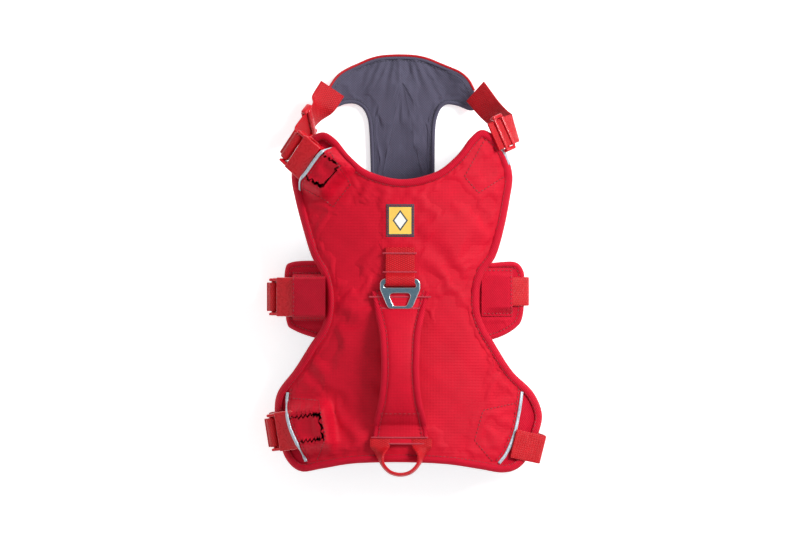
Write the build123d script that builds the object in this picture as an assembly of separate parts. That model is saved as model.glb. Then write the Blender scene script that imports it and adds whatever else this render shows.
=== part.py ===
from build123d import *
import os
from math import cos, sin, radians

os.makedirs("parts", exist_ok=True)

# Dog harness laid on its chest panel: +Z up through the back panel, +Y towards the dog's neck.
# The origin is under the middle of the whole harness, on the surface that it lies on.

# Webbing
WEB_W = 25.0  # strap width
WEB_T = 1.6  # strap thickness
CLEAR = 0.3  # air between pieces that move apart

# Back panel: concentric arches about an axis along Y
ARCH_R = 175.0  # outside of the shell
ARCH_TOP = 84.0  # height of the shell's crown
ARCH_Z = ARCH_TOP - ARCH_R
SHELL_T = 1.0
FACING_T = 1.0
FOAM_T = 5.5
LINING_T = 1.0
BINDING_W = 5.0
LABEL_W = 24.0
LABEL_L = 28.0
LABEL_T = 0.8
LABEL_X = -5.2
LABEL_Y = 36.1
PANEL_IN_R = ARCH_R - SHELL_T - FACING_T - FOAM_T - LINING_T

# Side wings, sewn under the panel's waist
WING_OUT_R = PANEL_IN_R
WING_COVER_T = 1.0
WING_FOAM_T = 5.0
WING_LINING_T = 1.0
TUNNEL_T = 2.4
TUNNEL_L = 40.0  # along the harness, a webbing's width and its two seams
TUNNELS = {"left": (-77.5, -29.7, 14.0), "right": (77.5, -25.0, 22.0)}  # middle x, middle y, width
SEAM_GAP = 0.4  # between a tunnel and the panel's edge

# Chest panel: a flat keel whose sides curl up
KEEL_HALF = 28.0
CURL_R = 90.0
CHEST_T = 6.0
CHEST_SKIN = 1.0
CHEST_BINDING_W = 3.0

# Handle: a padded grip that bows up between two flat tabs
HANDLE_X = -5.3
HANDLE_Y = -89.0
BOW_HALF = 50.0  # half of the span that the bow's curves are drawn over
BOW_LEVELS = [(98.0, 84.2), (101.2, 84.9), (103.2, 85.7), (107.0, 86.5)]  # height in the middle, at the ends
GRIP_HALF = 46.0  # from the handle's middle to where it is free to lift
TAB_T = 2.0
HANDLE_FRONT_Y = -25.5
HANDLE_REAR_Y = -155.0
HANDLE_EDGE = [(-25.5, 25.7), (-42.0, 21.5), (-60.0, 17.5), (-80.0, 16.2), (-98.0, 16.2), (-118.0, 18.3),
               (-136.0, 22.5), (-155.0, 25.2)]  # (y, half width)
BARTACK_W = 1.8
BARTACK_T = 0.7
FRONT_BARTACKS = ((-27.7, 50.0), (-37.7, 35.0))  # (y, length)
REAR_BARTACKS = ((-148.3, 48.0), (-153.6, 48.0))

# Side-release buckles for 25 mm webbing
SOCKET_W = 34.0
SOCKET_L = 28.0
SOCKET_T = 9.0
CAVITY_W = 30.0
CAVITY_L = 18.0
CAVITY_T = 5.4
BAR_R = 1.7
PRONG_T = 4.6
PRONG_L = 15.5
PRONG_Y = 9.6  # prong centre line from the buckle's centre line
PRONG_W = 3.0
PRONG_ROOT_X = 0.8
SLIDER_L = 11.0
RAIL_Y = 14.6  # side rails of plugs and sliders, from the centre line
RAIL_W = 2.8
SLIDER_BAR_T = 1.8
TONGUE_L = 14.0
TONGUE_W = 5.6
PLUG_BLOCK_L = 4.0
PLUG_BLOCK_T = 6.6

# V-shaped leash ring
RING_T = 3.2
RING_BAR_Y = -15.9  # the ring turns about this bar
RING_LOOP_R = 2.9  # inside of the webbing's turn round the bar
RING_TOP_HALF = 17.2
RING_FOOT_HALF = 9.5
RING_FRONT_Y = -13.9
RING_SHOULDER_Y = -23.0
RING_FOOT_Y = -39.7
RING_SLOT_Y = -19.7
RING_SLOT_L = 3.4
RING_WEB_END = 13.0  # end of the ring's webbing in front of the origin
RING_BARTACKS_Y = (9.5, -6.0)
LEASH_Z = ARCH_TOP + 0.15
RING_Z = LEASH_Z + WEB_T + RING_LOOP_R

# Leash loop behind the handle
LOOP_X = -5.0
LOOP_Y = -157.5
LOOP_T = 4.0
LOOP_OUT = (27.0, 25.0)  # half axes of the loop's outside
LOOP_IN = (9.3, 21.5)
LOOP_Z = ARCH_TOP + CLEAR + LOOP_T / 2

# Buckles: (mouth x, y, z, heading, tilt below level, roll about the strap)
NECK_BUCKLE = (-81.0, 84.5, 72.4, 137.8, 25.0, -19.0)
GIRTH_BUCKLE = (-94.5, -29.7, 52.9, 180.0, 35.0, 0.0)
REAR_BUCKLE = (-93.5, -143.5, 66.4, 189.0, 32.0, 0.0)

BACK_PANEL = [
    (-3.7, 71.6), (-31.3, 78.2), (-48.2, 91.3), (-61.0, 106.5), (-73.0, 112.5), (-88.0, 104.5),
    (-97.0, 91.0), (-99.5, 74.0), (-95.9, 54.0), (-89.0, 28.2), (-82.0, 6.0), (-72.5, -12.0),
    (-69.0, -33.0), (-72.5, -54.0), (-83.0, -70.5), (-97.0, -92.5), (-111.0, -111.0),
    (-114.5, -127.0), (-111.5, -149.0), (-104.5, -170.0), (-91.5, -180.5), (-72.0, -177.5),
    (-45.0, -172.7), (-5.7, -171.3), (33.0, -173.0), (62.0, -177.6), (83.4, -181.4),
    (98.0, -177.5), (108.5, -165.0), (115.5, -148.0), (118.3, -131.0), (110.0, -112.0),
    (92.0, -94.0), (77.0, -71.0), (65.5, -50.0), (62.5, -31.0), (66.5, -10.0), (77.0, 5.0),
    (84.2, 28.2), (89.4, 54.0), (92.0, 75.0), (86.5, 94.5), (76.5, 109.0), (65.0, 114.5),
    (55.0, 107.3), (43.0, 91.8), (24.5, 77.6),
]
CHEST_PANEL = [
    (-22.1, 181.4), (-42.0, 174.5), (-58.5, 165.5), (-68.0, 152.0), (-72.0, 139.5),
    (-66.7, 134.4), (-52.8, 139.6), (-42.1, 138.6), (-35.0, 130.0), (-32.3, 112.0),
    (-31.0, 60.0), (-33.0, 20.0), (-40.0, -10.0), (-44.0, -45.0), (-36.0, -62.0), (-5.0, -66.0),
    (28.0, -62.0), (36.0, -45.0), (32.0, -10.0), (27.0, 20.0), (25.3, 60.0), (25.5, 112.0),
    (28.0, 130.0), (34.1, 138.6), (44.1, 138.3), (57.0, 133.6), (62.2, 138.0), (59.2, 152.3),
    (50.3, 165.2), (33.0, 173.5), (10.3, 181.4),
]
LEFT_WING = [
    (-62.0, 0.0), (-80.0, 1.8), (-99.5, 0.5), (-105.5, -6.0), (-106.0, -30.0), (-104.0, -52.0),
    (-98.0, -58.5), (-80.0, -64.8), (-62.0, -66.0),
]
RIGHT_WING = [
    (56.0, -2.0), (75.0, 0.0), (93.5, 0.8), (101.0, -5.0), (103.0, -16.0), (101.5, -46.0),
    (94.0, -57.5), (76.0, -66.0), (56.0, -66.0),
]
# Corners of the panel where the shell stops at a reflective trim, as trim lines
NECK_LEFT_TRIM = [(-64.0, 99.1), (-73.3, 93.8), (-85.8, 77.3), (-91.0, 70.8), (-91.7, 62.2)]
NECK_RIGHT_TRIM = [(69.7, 109.1), (76.0, 104.5), (84.0, 94.0), (88.4, 84.9)]
REAR_LEFT_TRIM = [(-102.2, -112.4), (-103.0, -125.6), (-99.7, -142.1), (-92.3, -158.5), (-86.0, -171.7)]
REAR_RIGHT_TRIM = [(99.8, -111.9), (97.3, -128.9), (93.3, -147.0), (86.6, -163.5), (79.7, -173.1)]
TRIM_W = 2.4
TRIM_T = 1.4


def loop_face(points, stretch=3):
    """A face inside a smooth closed curve through the points, drawn as short splines that join smoothly."""
    count = len(points)

    def tangent(i):
        before, after = points[i - 1], points[(i + 1) % count]
        return Vector(after[0] - before[0], after[1] - before[1]).normalized()

    edges = []
    for start in range(0, count, stretch):
        stop = min(start + stretch, count)
        run = [points[i % count] for i in range(start, stop + 1)]
        edges.append(Spline(*run, tangents=(tangent(start), tangent(stop % count))))
    return make_face(edges)


def shifted(points, amount, closed):
    """The points of an outline moved sideways: inwards on a closed one drawn anticlockwise."""
    moved = []
    last = len(points) - 1
    for i, (x, y) in enumerate(points):
        before = points[i - 1] if closed or i else points[0]
        after = points[(i + 1) % len(points)] if closed or i < last else points[last]
        along = Vector(after[0] - before[0], after[1] - before[1]).normalized()
        moved.append((x - along.Y * amount, y + along.X * amount))
    return moved


def inset_face(points, amount):
    return loop_face(shifted(points, amount, closed=True))


def column(face):
    """The upright column over a flat outline."""
    return extrude(face, amount=150)


def drum(radius, axis_z, along="Y", y=0.0):
    """A long cylinder that lies along X or Y."""
    turn = Rot(90, 0, 0) if along == "Y" else Rot(0, 90, 0)
    return Pos(0, y, axis_z) * turn * Cylinder(radius, 500)


def arch_layer(face, outer, inner):
    """The part of an outline's column between two arches of the back panel."""
    return (column(face) & drum(outer, ARCH_Z)) - drum(inner, ARCH_Z)


def bow(level):
    """The drum whose top follows one of the handle's bow lines."""
    middle, ends = level
    rise = middle - ends
    radius = (BOW_HALF**2 + rise**2) / (2 * rise)
    return drum(radius, middle - radius, "X", HANDLE_Y)


def bow_layer(face, outer, inner):
    """The part of an outline's column between two of the handle's bow lines."""
    return (column(face) & bow(outer)) - bow(inner)


def curl_layer(face, low, high):
    """The part of an outline's column between two levels of the chest panel's curled trough."""
    def trough(rise):
        half = KEEL_HALF + CURL_R - rise
        shape = RectangleRounded(2 * half, 2 * (CURL_R - rise), CURL_R - rise - 0.01)
        return extrude(Plane.XZ * Pos(0, CURL_R) * shape, amount=400, both=True)
    lower_half = Pos(0, 50, 20) * Box(400, 500, 40)
    return (column(face) & trough(low) & lower_half) - trough(high)


def stroke(points, width):
    """A flat band of even width along a smooth line."""
    left = shifted(points, width / 2, closed=False)
    right = shifted(points, -width / 2, closed=False)[::-1]
    return make_face([Spline(*left), Line(left[-1], right[0]), Spline(*right), Line(right[-1], left[0])])


def beyond(points, outside):
    """The area between a trim line and points outside the panel."""
    return make_face(Polyline(*points, *outside, close=True))


def upright_plane(x, y, heading):
    """A vertical plane through a point; its own x runs level along the heading, its own y is up."""
    along = Vector(cos(radians(heading)), sin(radians(heading)), 0)
    return Plane(origin=(x, y, 0), x_dir=along, z_dir=along.cross(Vector(0, 0, 1)))


def beside(points, radii, thick):
    """The path to the left of a path with rounded corners, and its own corner radii."""
    heads = [Vector(b[0] - a[0], b[1] - a[1]).normalized() for a, b in zip(points, points[1:])]
    sides = [Vector(-head.Y, head.X) for head in heads]
    moved = [(points[0][0] + sides[0].X * thick, points[0][1] + sides[0].Y * thick)]
    bends = []
    for point, radius, one, two, head in zip(points[1:], radii, sides, sides[1:], heads):
        mitre = (one + two) * (thick / (1 + one.dot(two)))
        moved.append((point[0] + mitre.X, point[1] + mitre.Y))
        bends.append(radius - thick if two.dot(head) < 0 else radius + thick)
    moved.append((points[-1][0] + sides[-1].X * thick, points[-1][1] + sides[-1].Y * thick))
    return moved, bends


def ribbon(plane, points, radii, width=WEB_W, thick=WEB_T):
    """Webbing whose inner face follows a path with rounded corners in an upright plane."""
    outer, bends = beside(points, radii, thick)
    edges = [*FilletPolyline(*points, radius=radii).edges(), *FilletPolyline(*outer, radius=bends).edges()]
    edges += [Line(points[0], outer[0]), Line(points[-1], outer[-1])]
    return extrude(plane * make_face(edges), amount=width / 2, both=True)


def band(stations):
    """Webbing that turns as it runs: flat sections, each a centre, a travel direction and a width direction."""
    sections = [Plane(origin=centre, x_dir=across, z_dir=travel) * Rectangle(WEB_W, WEB_T)
                for centre, travel, across in stations]
    return loft(sections, ruled=True)


# Buckles, drawn with the mouth of the socket at the origin and the strap leaving along +X

ROD_X = SOCKET_L - BAR_R - 0.5
PLUG_ROD_X = -10.3
WRAP_R = BAR_R + CLEAR  # inside of the webbing's turn round a rod
WRAP_BEND = WRAP_R - 0.1  # a little less, which leaves a short flat at the turn's middle


def buckle_plane(place):
    x, y, z, heading, tilt, roll = place
    level, down = cos(radians(tilt)), sin(radians(tilt))
    along = Vector(cos(radians(heading)) * level, sin(radians(heading)) * level, -down)
    up = Vector(cos(radians(heading)) * down, sin(radians(heading)) * down, level)
    up = up * cos(radians(roll)) - up.cross(along) * sin(radians(roll))
    return Plane(origin=(x, y, z), x_dir=along, z_dir=up)


def section_plane(place):
    """The plane through a buckle's middle: its own x runs along the strap, its own y out of the panel."""
    plane = buckle_plane(place)
    return Plane(origin=plane.origin, x_dir=plane.x_dir, z_dir=plane.x_dir.cross(plane.z_dir))


def in_section(place, points):
    """Points of a level-and-up drawing that starts under the buckle's mouth, in the buckle's section."""
    tilt, height = radians(place[4]), place[2]
    return [(u * cos(tilt) - (v - height) * sin(tilt), u * sin(tilt) + (v - height) * cos(tilt))
            for u, v in points]


def rod(x):
    return Pos(x, 0, 0) * Rot(90, 0, 0) * Cylinder(BAR_R, WEB_W + 3)


def socket():
    body = Pos(SOCKET_L / 2, 0, 0) * Box(SOCKET_L, SOCKET_W, SOCKET_T)
    body = fillet(body.edges().filter_by(Axis.Z), 3.0)
    body -= Pos(CAVITY_L / 2, 0, 0) * Box(CAVITY_L, CAVITY_W, CAVITY_T)
    body -= Pos(11.5, 0, 0) * Box(9.0, SOCKET_W + 2, CAVITY_T)
    slot_x = CAVITY_L + 1.4
    body -= Pos(slot_x + SOCKET_L / 2, 0, 0) * Box(SOCKET_L, WEB_W + 1.4, SOCKET_T + 2)
    return body + rod(ROD_X)


def plug():
    block = Pos(-1 - PLUG_BLOCK_L / 2, 0, 0) * Box(PLUG_BLOCK_L, CAVITY_W + 2, PLUG_BLOCK_T)
    tongue = Pos(TONGUE_L / 2 - 1, 0, 0) * Box(TONGUE_L, TONGUE_W, CAVITY_T - 1.4)
    cheeks = [Pos(-8.5, side * RAIL_Y, 0) * Box(7, RAIL_W, 5.0) for side in (-1, 1)]
    return block + tongue + cheeks[0] + cheeks[1] + rod(PLUG_ROD_X)


def prong(side):
    """One springy arm; its root turns about a line through (PRONG_ROOT_X, side * PRONG_Y)."""
    half = PRONG_W / 2
    arm = Pos((PRONG_ROOT_X + PRONG_L) / 2, PRONG_Y, 0) * Box(PRONG_L - PRONG_ROOT_X, PRONG_W, PRONG_T)
    root = Pos(PRONG_ROOT_X, PRONG_Y, 0) * Cylinder(half, PRONG_T)
    barb = Polyline((8.0, PRONG_Y), (8.0, 16.6), (10.8, 16.6), (PRONG_L, PRONG_Y + half),
                    (PRONG_L, PRONG_Y), close=True)
    shape = arm + root + extrude(make_face(barb), amount=PRONG_T / 2, both=True)
    return shape if side > 0 else mirror(shape, Plane.XZ)


def anchor(place):
    """Webbing that holds a plug: round its rod and back to the panel's seam."""
    near, far = PLUG_ROD_X + WRAP_R, PLUG_ROD_X - 5
    back, low = far - 9, -3.3
    points = [(back, low + 0.1), (far, WRAP_R), (near, WRAP_R), (near, -WRAP_R), (far, -WRAP_R), (back, low)]
    return ribbon(section_plane(place), points, [3, WRAP_BEND, WRAP_BEND, 3])


def strap_wrap(place, after, radii):
    """A strap that turns round a socket's rod and runs on through further points of the section."""
    tail, near, far = ROD_X + 1.0, ROD_X - WRAP_R, ROD_X + 3.2
    turn = [(tail, -WRAP_R), (near, -WRAP_R), (near, WRAP_R), (far, WRAP_R)]
    return ribbon(section_plane(place), turn + after, [WRAP_BEND, WRAP_BEND, *radii])


def slider():
    """Three-bar slider round a strap that lies on the plane z = 0 to WEB_T and runs along X."""
    away = CLEAR + SLIDER_BAR_T / 2
    bar_l = WEB_W + 2
    rails = [Pos(0, side * RAIL_Y, WEB_T / 2) * Box(SLIDER_L, RAIL_W, 5.4) for side in (-1, 1)]
    low = [Pos(end * (SLIDER_L / 2 - 1.2), 0, -away) * Box(2.4, bar_l, SLIDER_BAR_T) for end in (-1, 1)]
    top = Pos(0, 0, WEB_T + away) * Box(2.6, bar_l, SLIDER_BAR_T)
    return rails[0] + rails[1] + low[0] + low[1] + top


def save(shape, name):
    export_step(shape, f"parts/{name}.step")


def make_back_panel():
    whole = loop_face(BACK_PANEL)
    inner = inset_face(BACK_PANEL, BINDING_W)
    corners = [
        beyond(NECK_LEFT_TRIM, [(-130, 62.2), (-130, 130), (-64, 130)]),
        beyond(NECK_RIGHT_TRIM, [(130, 84.9), (130, 130), (69.7, 130)]),
        beyond(REAR_LEFT_TRIM, [(-86, -200), (-130, -200), (-130, -112.4)]),
        beyond(REAR_RIGHT_TRIM, [(79.7, -200), (130, -200), (130, -111.9)]),
    ]
    shell = inner
    for corner in corners:
        shell = shell - corner
    level = ARCH_R
    layers = (("shell", shell, SHELL_T), ("base_facing", inner, FACING_T), ("foam", inner, FOAM_T),
              ("lining", inner, LINING_T))
    for name, face, thick in layers:
        save(arch_layer(face, level, level - thick), f"back_panel_{name}")
        level -= thick
    save(arch_layer(whole, ARCH_R, PANEL_IN_R) - column(inner), "back_panel_edge_binding")
    trims = {"neck_left": NECK_LEFT_TRIM, "neck_right": NECK_RIGHT_TRIM,
             "rear_left": REAR_LEFT_TRIM, "rear_right": REAR_RIGHT_TRIM}
    for name, line in trims.items():
        save(arch_layer(stroke(line, TRIM_W), ARCH_R + TRIM_T, ARCH_R), f"reflective_trim_{name}")
    label = Pos(LABEL_X, LABEL_Y) * Rectangle(LABEL_W, LABEL_L)
    save(arch_layer(label, ARCH_R + LABEL_T, ARCH_R), "label_patch")


def make_wings():
    layers = (("cover", WING_COVER_T), ("foam", WING_FOAM_T), ("lining", WING_LINING_T))
    for name, points in (("left", LEFT_WING), ("right", RIGHT_WING)):
        face = loop_face(points)
        level = WING_OUT_R
        for layer, thick in layers:
            save(arch_layer(face, level, level - thick), f"{name}_wing_{layer}")
            level -= thick
        x, y, width = TUNNELS[name]
        tunnel = Pos(x, y) * Rectangle(width, TUNNEL_L) - inset_face(BACK_PANEL, -SEAM_GAP)
        save(arch_layer(tunnel, WING_OUT_R + TUNNEL_T, WING_OUT_R), f"{name}_wing_tunnel")


def make_chest_panel():
    whole = loop_face(CHEST_PANEL)
    inner = inset_face(CHEST_PANEL, CHEST_BINDING_W)
    save(curl_layer(inner, 0, CHEST_SKIN), "chest_panel_cover")
    save(curl_layer(inner, CHEST_SKIN, CHEST_T - CHEST_SKIN), "chest_panel_foam")
    save(curl_layer(inner, CHEST_T - CHEST_SKIN, CHEST_T), "chest_panel_lining")
    save(curl_layer(whole, 0, CHEST_T) - column(inner), "chest_panel_edge_binding")


def handle_face(rear, front):
    """The part of the handle's outline between two crosswise lines."""
    left = [(HANDLE_X - half, y) for y, half in HANDLE_EDGE]
    right = [(HANDLE_X + half, y) for y, half in reversed(HANDLE_EDGE)]
    edges = [Spline(*left), Line(left[-1], right[0]), Spline(*right), Line(right[-1], left[0])]
    strip = Pos(HANDLE_X, (rear + front) / 2) * Rectangle(80, front - rear)
    return make_face(edges) & strip


def make_handle():
    grip = handle_face(HANDLE_Y - GRIP_HALF, HANDLE_Y + GRIP_HALF)
    names = ("handle_grip_lower_pad", "handle_grip_webbing", "handle_grip_upper_pad")
    for name, inner, outer in zip(names, BOW_LEVELS, BOW_LEVELS[1:]):
        save(bow_layer(grip, outer, inner), name)
    front = handle_face(HANDLE_Y + GRIP_HALF + CLEAR, HANDLE_FRONT_Y)
    rear = handle_face(HANDLE_REAR_Y, HANDLE_Y - GRIP_HALF - CLEAR)
    top = ARCH_R + TAB_T
    save(arch_layer(front, top, ARCH_R), "handle_front_tab")
    save(arch_layer(rear, top, ARCH_R), "handle_rear_tab")
    for name, bars in (("front", FRONT_BARTACKS), ("rear", REAR_BARTACKS)):
        shapes = [arch_layer(Pos(HANDLE_X, y) * Rectangle(wide, BARTACK_W), top + BARTACK_T, top)
                  for y, wide in bars]
        save(Compound(children=shapes), f"handle_{name}_bartacks")


def make_leash_ring():
    outline = Polyline((-RING_TOP_HALF, RING_FRONT_Y), (RING_TOP_HALF, RING_FRONT_Y),
                       (RING_TOP_HALF, RING_SHOULDER_Y), (RING_FOOT_HALF, RING_FOOT_Y),
                       (-RING_FOOT_HALF, RING_FOOT_Y), (-RING_TOP_HALF, RING_SHOULDER_Y), close=True)
    plate = make_face(outline)
    plate = fillet(plate.vertices(), 4.0)
    window = make_face(Polyline((-9.2, -26.6), (9.2, -26.6), (4.6, -37.0), (-4.6, -37.0), close=True))
    window = fillet(window.vertices(), 2.0)
    slot = Pos(0, RING_SLOT_Y) * Rectangle(WEB_W + 2, RING_SLOT_L)
    ring = extrude(plate - window - slot, amount=RING_T / 2, both=True)
    save(Pos(HANDLE_X, 0, RING_Z) * ring, "leash_ring")


def make_ring_webbing():
    turn = -RING_BAR_Y + RING_LOOP_R
    low, high = LEASH_Z + WEB_T, RING_Z + RING_LOOP_R
    seam = low + 0.1
    plane = upright_plane(HANDLE_X, 0, -90)
    upper = ribbon(plane, [(-RING_WEB_END, seam), (8.5, seam), (12.5, high), (15.0, high)], [2, 2])
    lower = [(14.9, high), (turn, high), (turn, low), (-RING_WEB_END, low)]
    round_bar = ribbon(plane, lower, [RING_LOOP_R - 0.1] * 2)
    save(upper + round_bar, "ring_webbing")
    middle = seam + WEB_T + BARTACK_T / 2
    bars = [Pos(HANDLE_X, y, middle) * Box(WEB_W + 3, BARTACK_W, BARTACK_T) for y in RING_BARTACKS_Y]
    save(Compound(children=bars), "ring_webbing_bartacks")


def make_rear_loop():
    ring = Ellipse(*LOOP_OUT) - Ellipse(*LOOP_IN)
    half = ring & (Pos(0, -25) * Rectangle(80, 49))
    save(Pos(LOOP_X, LOOP_Y, LOOP_Z) * extrude(half, amount=LOOP_T / 2, both=True), "rear_leash_loop")


def make_buckle(name, place):
    plane = buckle_plane(place)
    save(plane * socket(), f"{name}_buckle_socket")
    save(plane * plug(), f"{name}_buckle_plug")
    save(plane * prong(1), f"{name}_buckle_prong_a")
    save(plane * prong(-1), f"{name}_buckle_prong_b")


def strap_plane(place, start, stop, share=0.5):
    """The plane of a strap's inner face at a point of a straight run between two section points."""
    section = section_plane(place)
    first, last = section.from_local_coords(start), section.from_local_coords(stop)
    along = (Vector(last) - Vector(first)).normalized()
    middle = Vector(first) + (Vector(last) - Vector(first)) * share
    return Plane(origin=middle, x_dir=along, z_dir=section.z_dir.cross(along))


def make_slider(name, plane):
    save(plane * slider(), f"{name}_slider")


def make_girth_straps():
    left = in_section(GIRTH_BUCKLE, [(11.5, 6.0), (-14.5, 2.5), (-49.0, 2.5)])
    save(strap_wrap(GIRTH_BUCKLE, left, [4, 7, 14]), "girth_strap_left")
    save(anchor(GIRTH_BUCKLE), "girth_anchor_left")
    right = [(89.0, 50.8), (105.3, 39.8), (106.0, 22.0), (92.0, 3.0), (37.5, 2.5)]
    save(ribbon(upright_plane(0, -25.0, 0), right, [5, 12, 14]), "girth_strap_right")
    make_slider("girth", strap_plane(GIRTH_BUCKLE, (ROD_X + 3.2, WRAP_R), left[0], 0.55))


def make_rear_straps():
    left = in_section(REAR_BUCKLE, [(18.0, 7.0), (-5.0, 2.5), (-92.0, 2.5)])
    save(strap_wrap(REAR_BUCKLE, left, [4, 7, 14]), "rear_strap_left")
    save(anchor(REAR_BUCKLE), "rear_anchor_left")
    right = [(-8.0, 60.5), (18.3, 44.5), (17.0, 24.0), (2.0, 3.0), (-100.0, 2.5)]
    save(ribbon(upright_plane(100, -158.0, -14), right, [4, 10, 14]), "rear_strap_right")
    make_slider("rear", strap_plane(REAR_BUCKLE, (ROD_X + 3.2, WRAP_R), left[0], 0.7))


# Neck straps: (centre, travel, width direction) of flat sections from the shoulder down to the chest
NECK_LEFT_RUN = ((0.506, 0.675, -0.54), (-0.14, 0.68, 0.72))
NECK_LEFT_BAND = [
    ((-98.5, 103.5, 47.5), (-0.1, 0.2, -1.0), (0.53, 0.79, 0.3)),
    ((-97.0, 108.0, 43.5), (0.25, 0.5, -0.8), (0.3, 0.8, 0.5)),
    ((-90.0, 116.0, 38.0), *NECK_LEFT_RUN),
    ((-78.9, 130.9, 26.1), *NECK_LEFT_RUN),
    ((-66.0, 147.0, 22.5), (0.7, 0.7, -0.1), (-0.35, 0.75, 0.56)),
]
NECK_RIGHT_RUN = ((0.745, 0.35, -0.57), (0.4, -0.9, -0.04))
NECK_RIGHT_BAND = [
    ((75.0, 108.0, 70.7), *NECK_RIGHT_RUN),
    ((92.0, 116.0, 57.7), *NECK_RIGHT_RUN),
    ((97.0, 119.0, 48.0), (-0.1, 0.5, -0.85), (0.2, -0.9, -0.35)),
    ((92.0, 125.0, 40.0), (-0.6, 0.55, -0.55), (-0.14, -0.75, -0.62)),
    ((79.0, 136.0, 28.0), (-0.7, 0.55, -0.45), (-0.2, -0.7, -0.68)),
    ((60.0, 146.0, 19.5), (-0.85, 0.45, -0.2), (-0.3, -0.75, -0.55)),
]


def run_plane(first, last):
    """The plane of a slider half way between two flat sections of a neck strap."""
    middle = (Vector(first[0]) + Vector(last[0])) * 0.5
    along, across = Vector(first[1]).normalized(), Vector(first[2])
    out = along.cross(across).normalized()
    return Plane(origin=middle - out * (WEB_T / 2), x_dir=along, z_dir=out)


def make_neck_straps():
    save(strap_wrap(NECK_BUCKLE, [(31.5, -9.5)], [2.5]), "neck_strap_left_turn")
    save(anchor(NECK_BUCKLE), "neck_anchor_left")
    save(band(NECK_LEFT_BAND), "neck_strap_left")
    save(band(NECK_RIGHT_BAND), "neck_strap_right")
    make_slider("neck_left", run_plane(NECK_LEFT_BAND[2], NECK_LEFT_BAND[3]))
    make_slider("neck_right", run_plane(NECK_RIGHT_BAND[0], NECK_RIGHT_BAND[1]))


make_back_panel()
make_wings()
make_chest_panel()
make_handle()
make_leash_ring()
make_ring_webbing()
make_rear_loop()
make_buckle("neck", NECK_BUCKLE)
make_buckle("girth", GIRTH_BUCKLE)
make_buckle("rear", REAR_BUCKLE)
make_girth_straps()
make_rear_straps()
make_neck_straps()
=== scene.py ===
# A red vest harness for a dog, laid on its chest panel: padded back panel, handle, wings, straps and buckles.
import bmesh
import bpy
import numpy as np
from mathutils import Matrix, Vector


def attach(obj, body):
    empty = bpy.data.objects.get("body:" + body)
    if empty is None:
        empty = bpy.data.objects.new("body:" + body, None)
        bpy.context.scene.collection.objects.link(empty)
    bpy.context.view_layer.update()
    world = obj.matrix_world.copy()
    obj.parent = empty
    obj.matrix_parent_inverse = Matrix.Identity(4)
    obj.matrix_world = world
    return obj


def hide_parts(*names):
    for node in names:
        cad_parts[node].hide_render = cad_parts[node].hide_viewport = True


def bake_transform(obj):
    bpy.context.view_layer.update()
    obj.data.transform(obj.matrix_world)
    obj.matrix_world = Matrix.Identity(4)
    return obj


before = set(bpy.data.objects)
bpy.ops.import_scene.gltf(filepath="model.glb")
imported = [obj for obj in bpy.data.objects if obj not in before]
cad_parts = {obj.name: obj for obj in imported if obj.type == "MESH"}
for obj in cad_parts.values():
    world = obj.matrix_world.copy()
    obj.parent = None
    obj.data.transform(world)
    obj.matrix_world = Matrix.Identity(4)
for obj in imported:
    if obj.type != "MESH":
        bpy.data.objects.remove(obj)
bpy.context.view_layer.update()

# Lengths below are in millimetres, and piece() turns them to metres.
MM = 0.001
ROOT = "harness_body"

# Webbing and the arch of the back panel, as in the design
WEB_W = 25.0
WEB_T = 1.6
ARCH_R = 175.0
ARCH_TOP = 84.0
ARCH_Z = ARCH_TOP - ARCH_R
PANEL_T = 8.5
WING_R = ARCH_R - PANEL_T
WING_T = 7.0
KEEL_HALF = 28.0
CURL_R = 90.0
CHEST_T = 6.0
BINDING_W = 6.4  # rolled edge of the back panel, up to its stitch line

HANDLE_X = -5.3
HANDLE_Y = -89.0
BOW_HALF = 50.0
HANDLE_EDGE = [(-25.5, 25.7), (-42.0, 21.5), (-60.0, 17.5), (-80.0, 16.2), (-98.0, 16.2), (-118.0, 18.3),
               (-136.0, 22.5), (-155.0, 25.2)]

BACK_PANEL = [
    (-3.7, 71.6), (-31.3, 78.2), (-48.2, 91.3), (-61.0, 106.5), (-73.0, 112.5), (-88.0, 104.5),
    (-97.0, 91.0), (-99.5, 74.0), (-95.9, 54.0), (-89.0, 28.2), (-82.0, 6.0), (-72.5, -12.0),
    (-69.0, -33.0), (-72.5, -54.0), (-83.0, -70.5), (-97.0, -92.5), (-111.0, -111.0),
    (-114.5, -127.0), (-111.5, -149.0), (-104.5, -170.0), (-91.5, -180.5), (-72.0, -177.5),
    (-45.0, -172.7), (-5.7, -171.3), (33.0, -173.0), (62.0, -177.6), (83.4, -181.4),
    (98.0, -177.5), (108.5, -165.0), (115.5, -148.0), (118.3, -131.0), (110.0, -112.0),
    (92.0, -94.0), (77.0, -71.0), (65.5, -50.0), (62.5, -31.0), (66.5, -10.0), (77.0, 5.0),
    (84.2, 28.2), (89.4, 54.0), (92.0, 75.0), (86.5, 94.5), (76.5, 109.0), (65.0, 114.5),
    (55.0, 107.3), (43.0, 91.8), (24.5, 77.6),
]
CHEST_PANEL = [
    (-22.1, 181.4), (-42.0, 174.5), (-58.5, 165.5), (-68.0, 152.0), (-72.0, 139.5),
    (-66.7, 134.4), (-52.8, 139.6), (-42.1, 138.6), (-35.0, 130.0), (-32.3, 112.0),
    (-31.0, 60.0), (-33.0, 20.0), (-40.0, -10.0), (-44.0, -45.0), (-36.0, -62.0), (-5.0, -66.0),
    (28.0, -62.0), (36.0, -45.0), (32.0, -10.0), (27.0, 20.0), (25.3, 60.0), (25.5, 112.0),
    (28.0, 130.0), (34.1, 138.6), (44.1, 138.3), (57.0, 133.6), (62.2, 138.0), (59.2, 152.3),
    (50.3, 165.2), (33.0, 173.5), (10.3, 181.4),
]
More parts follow.
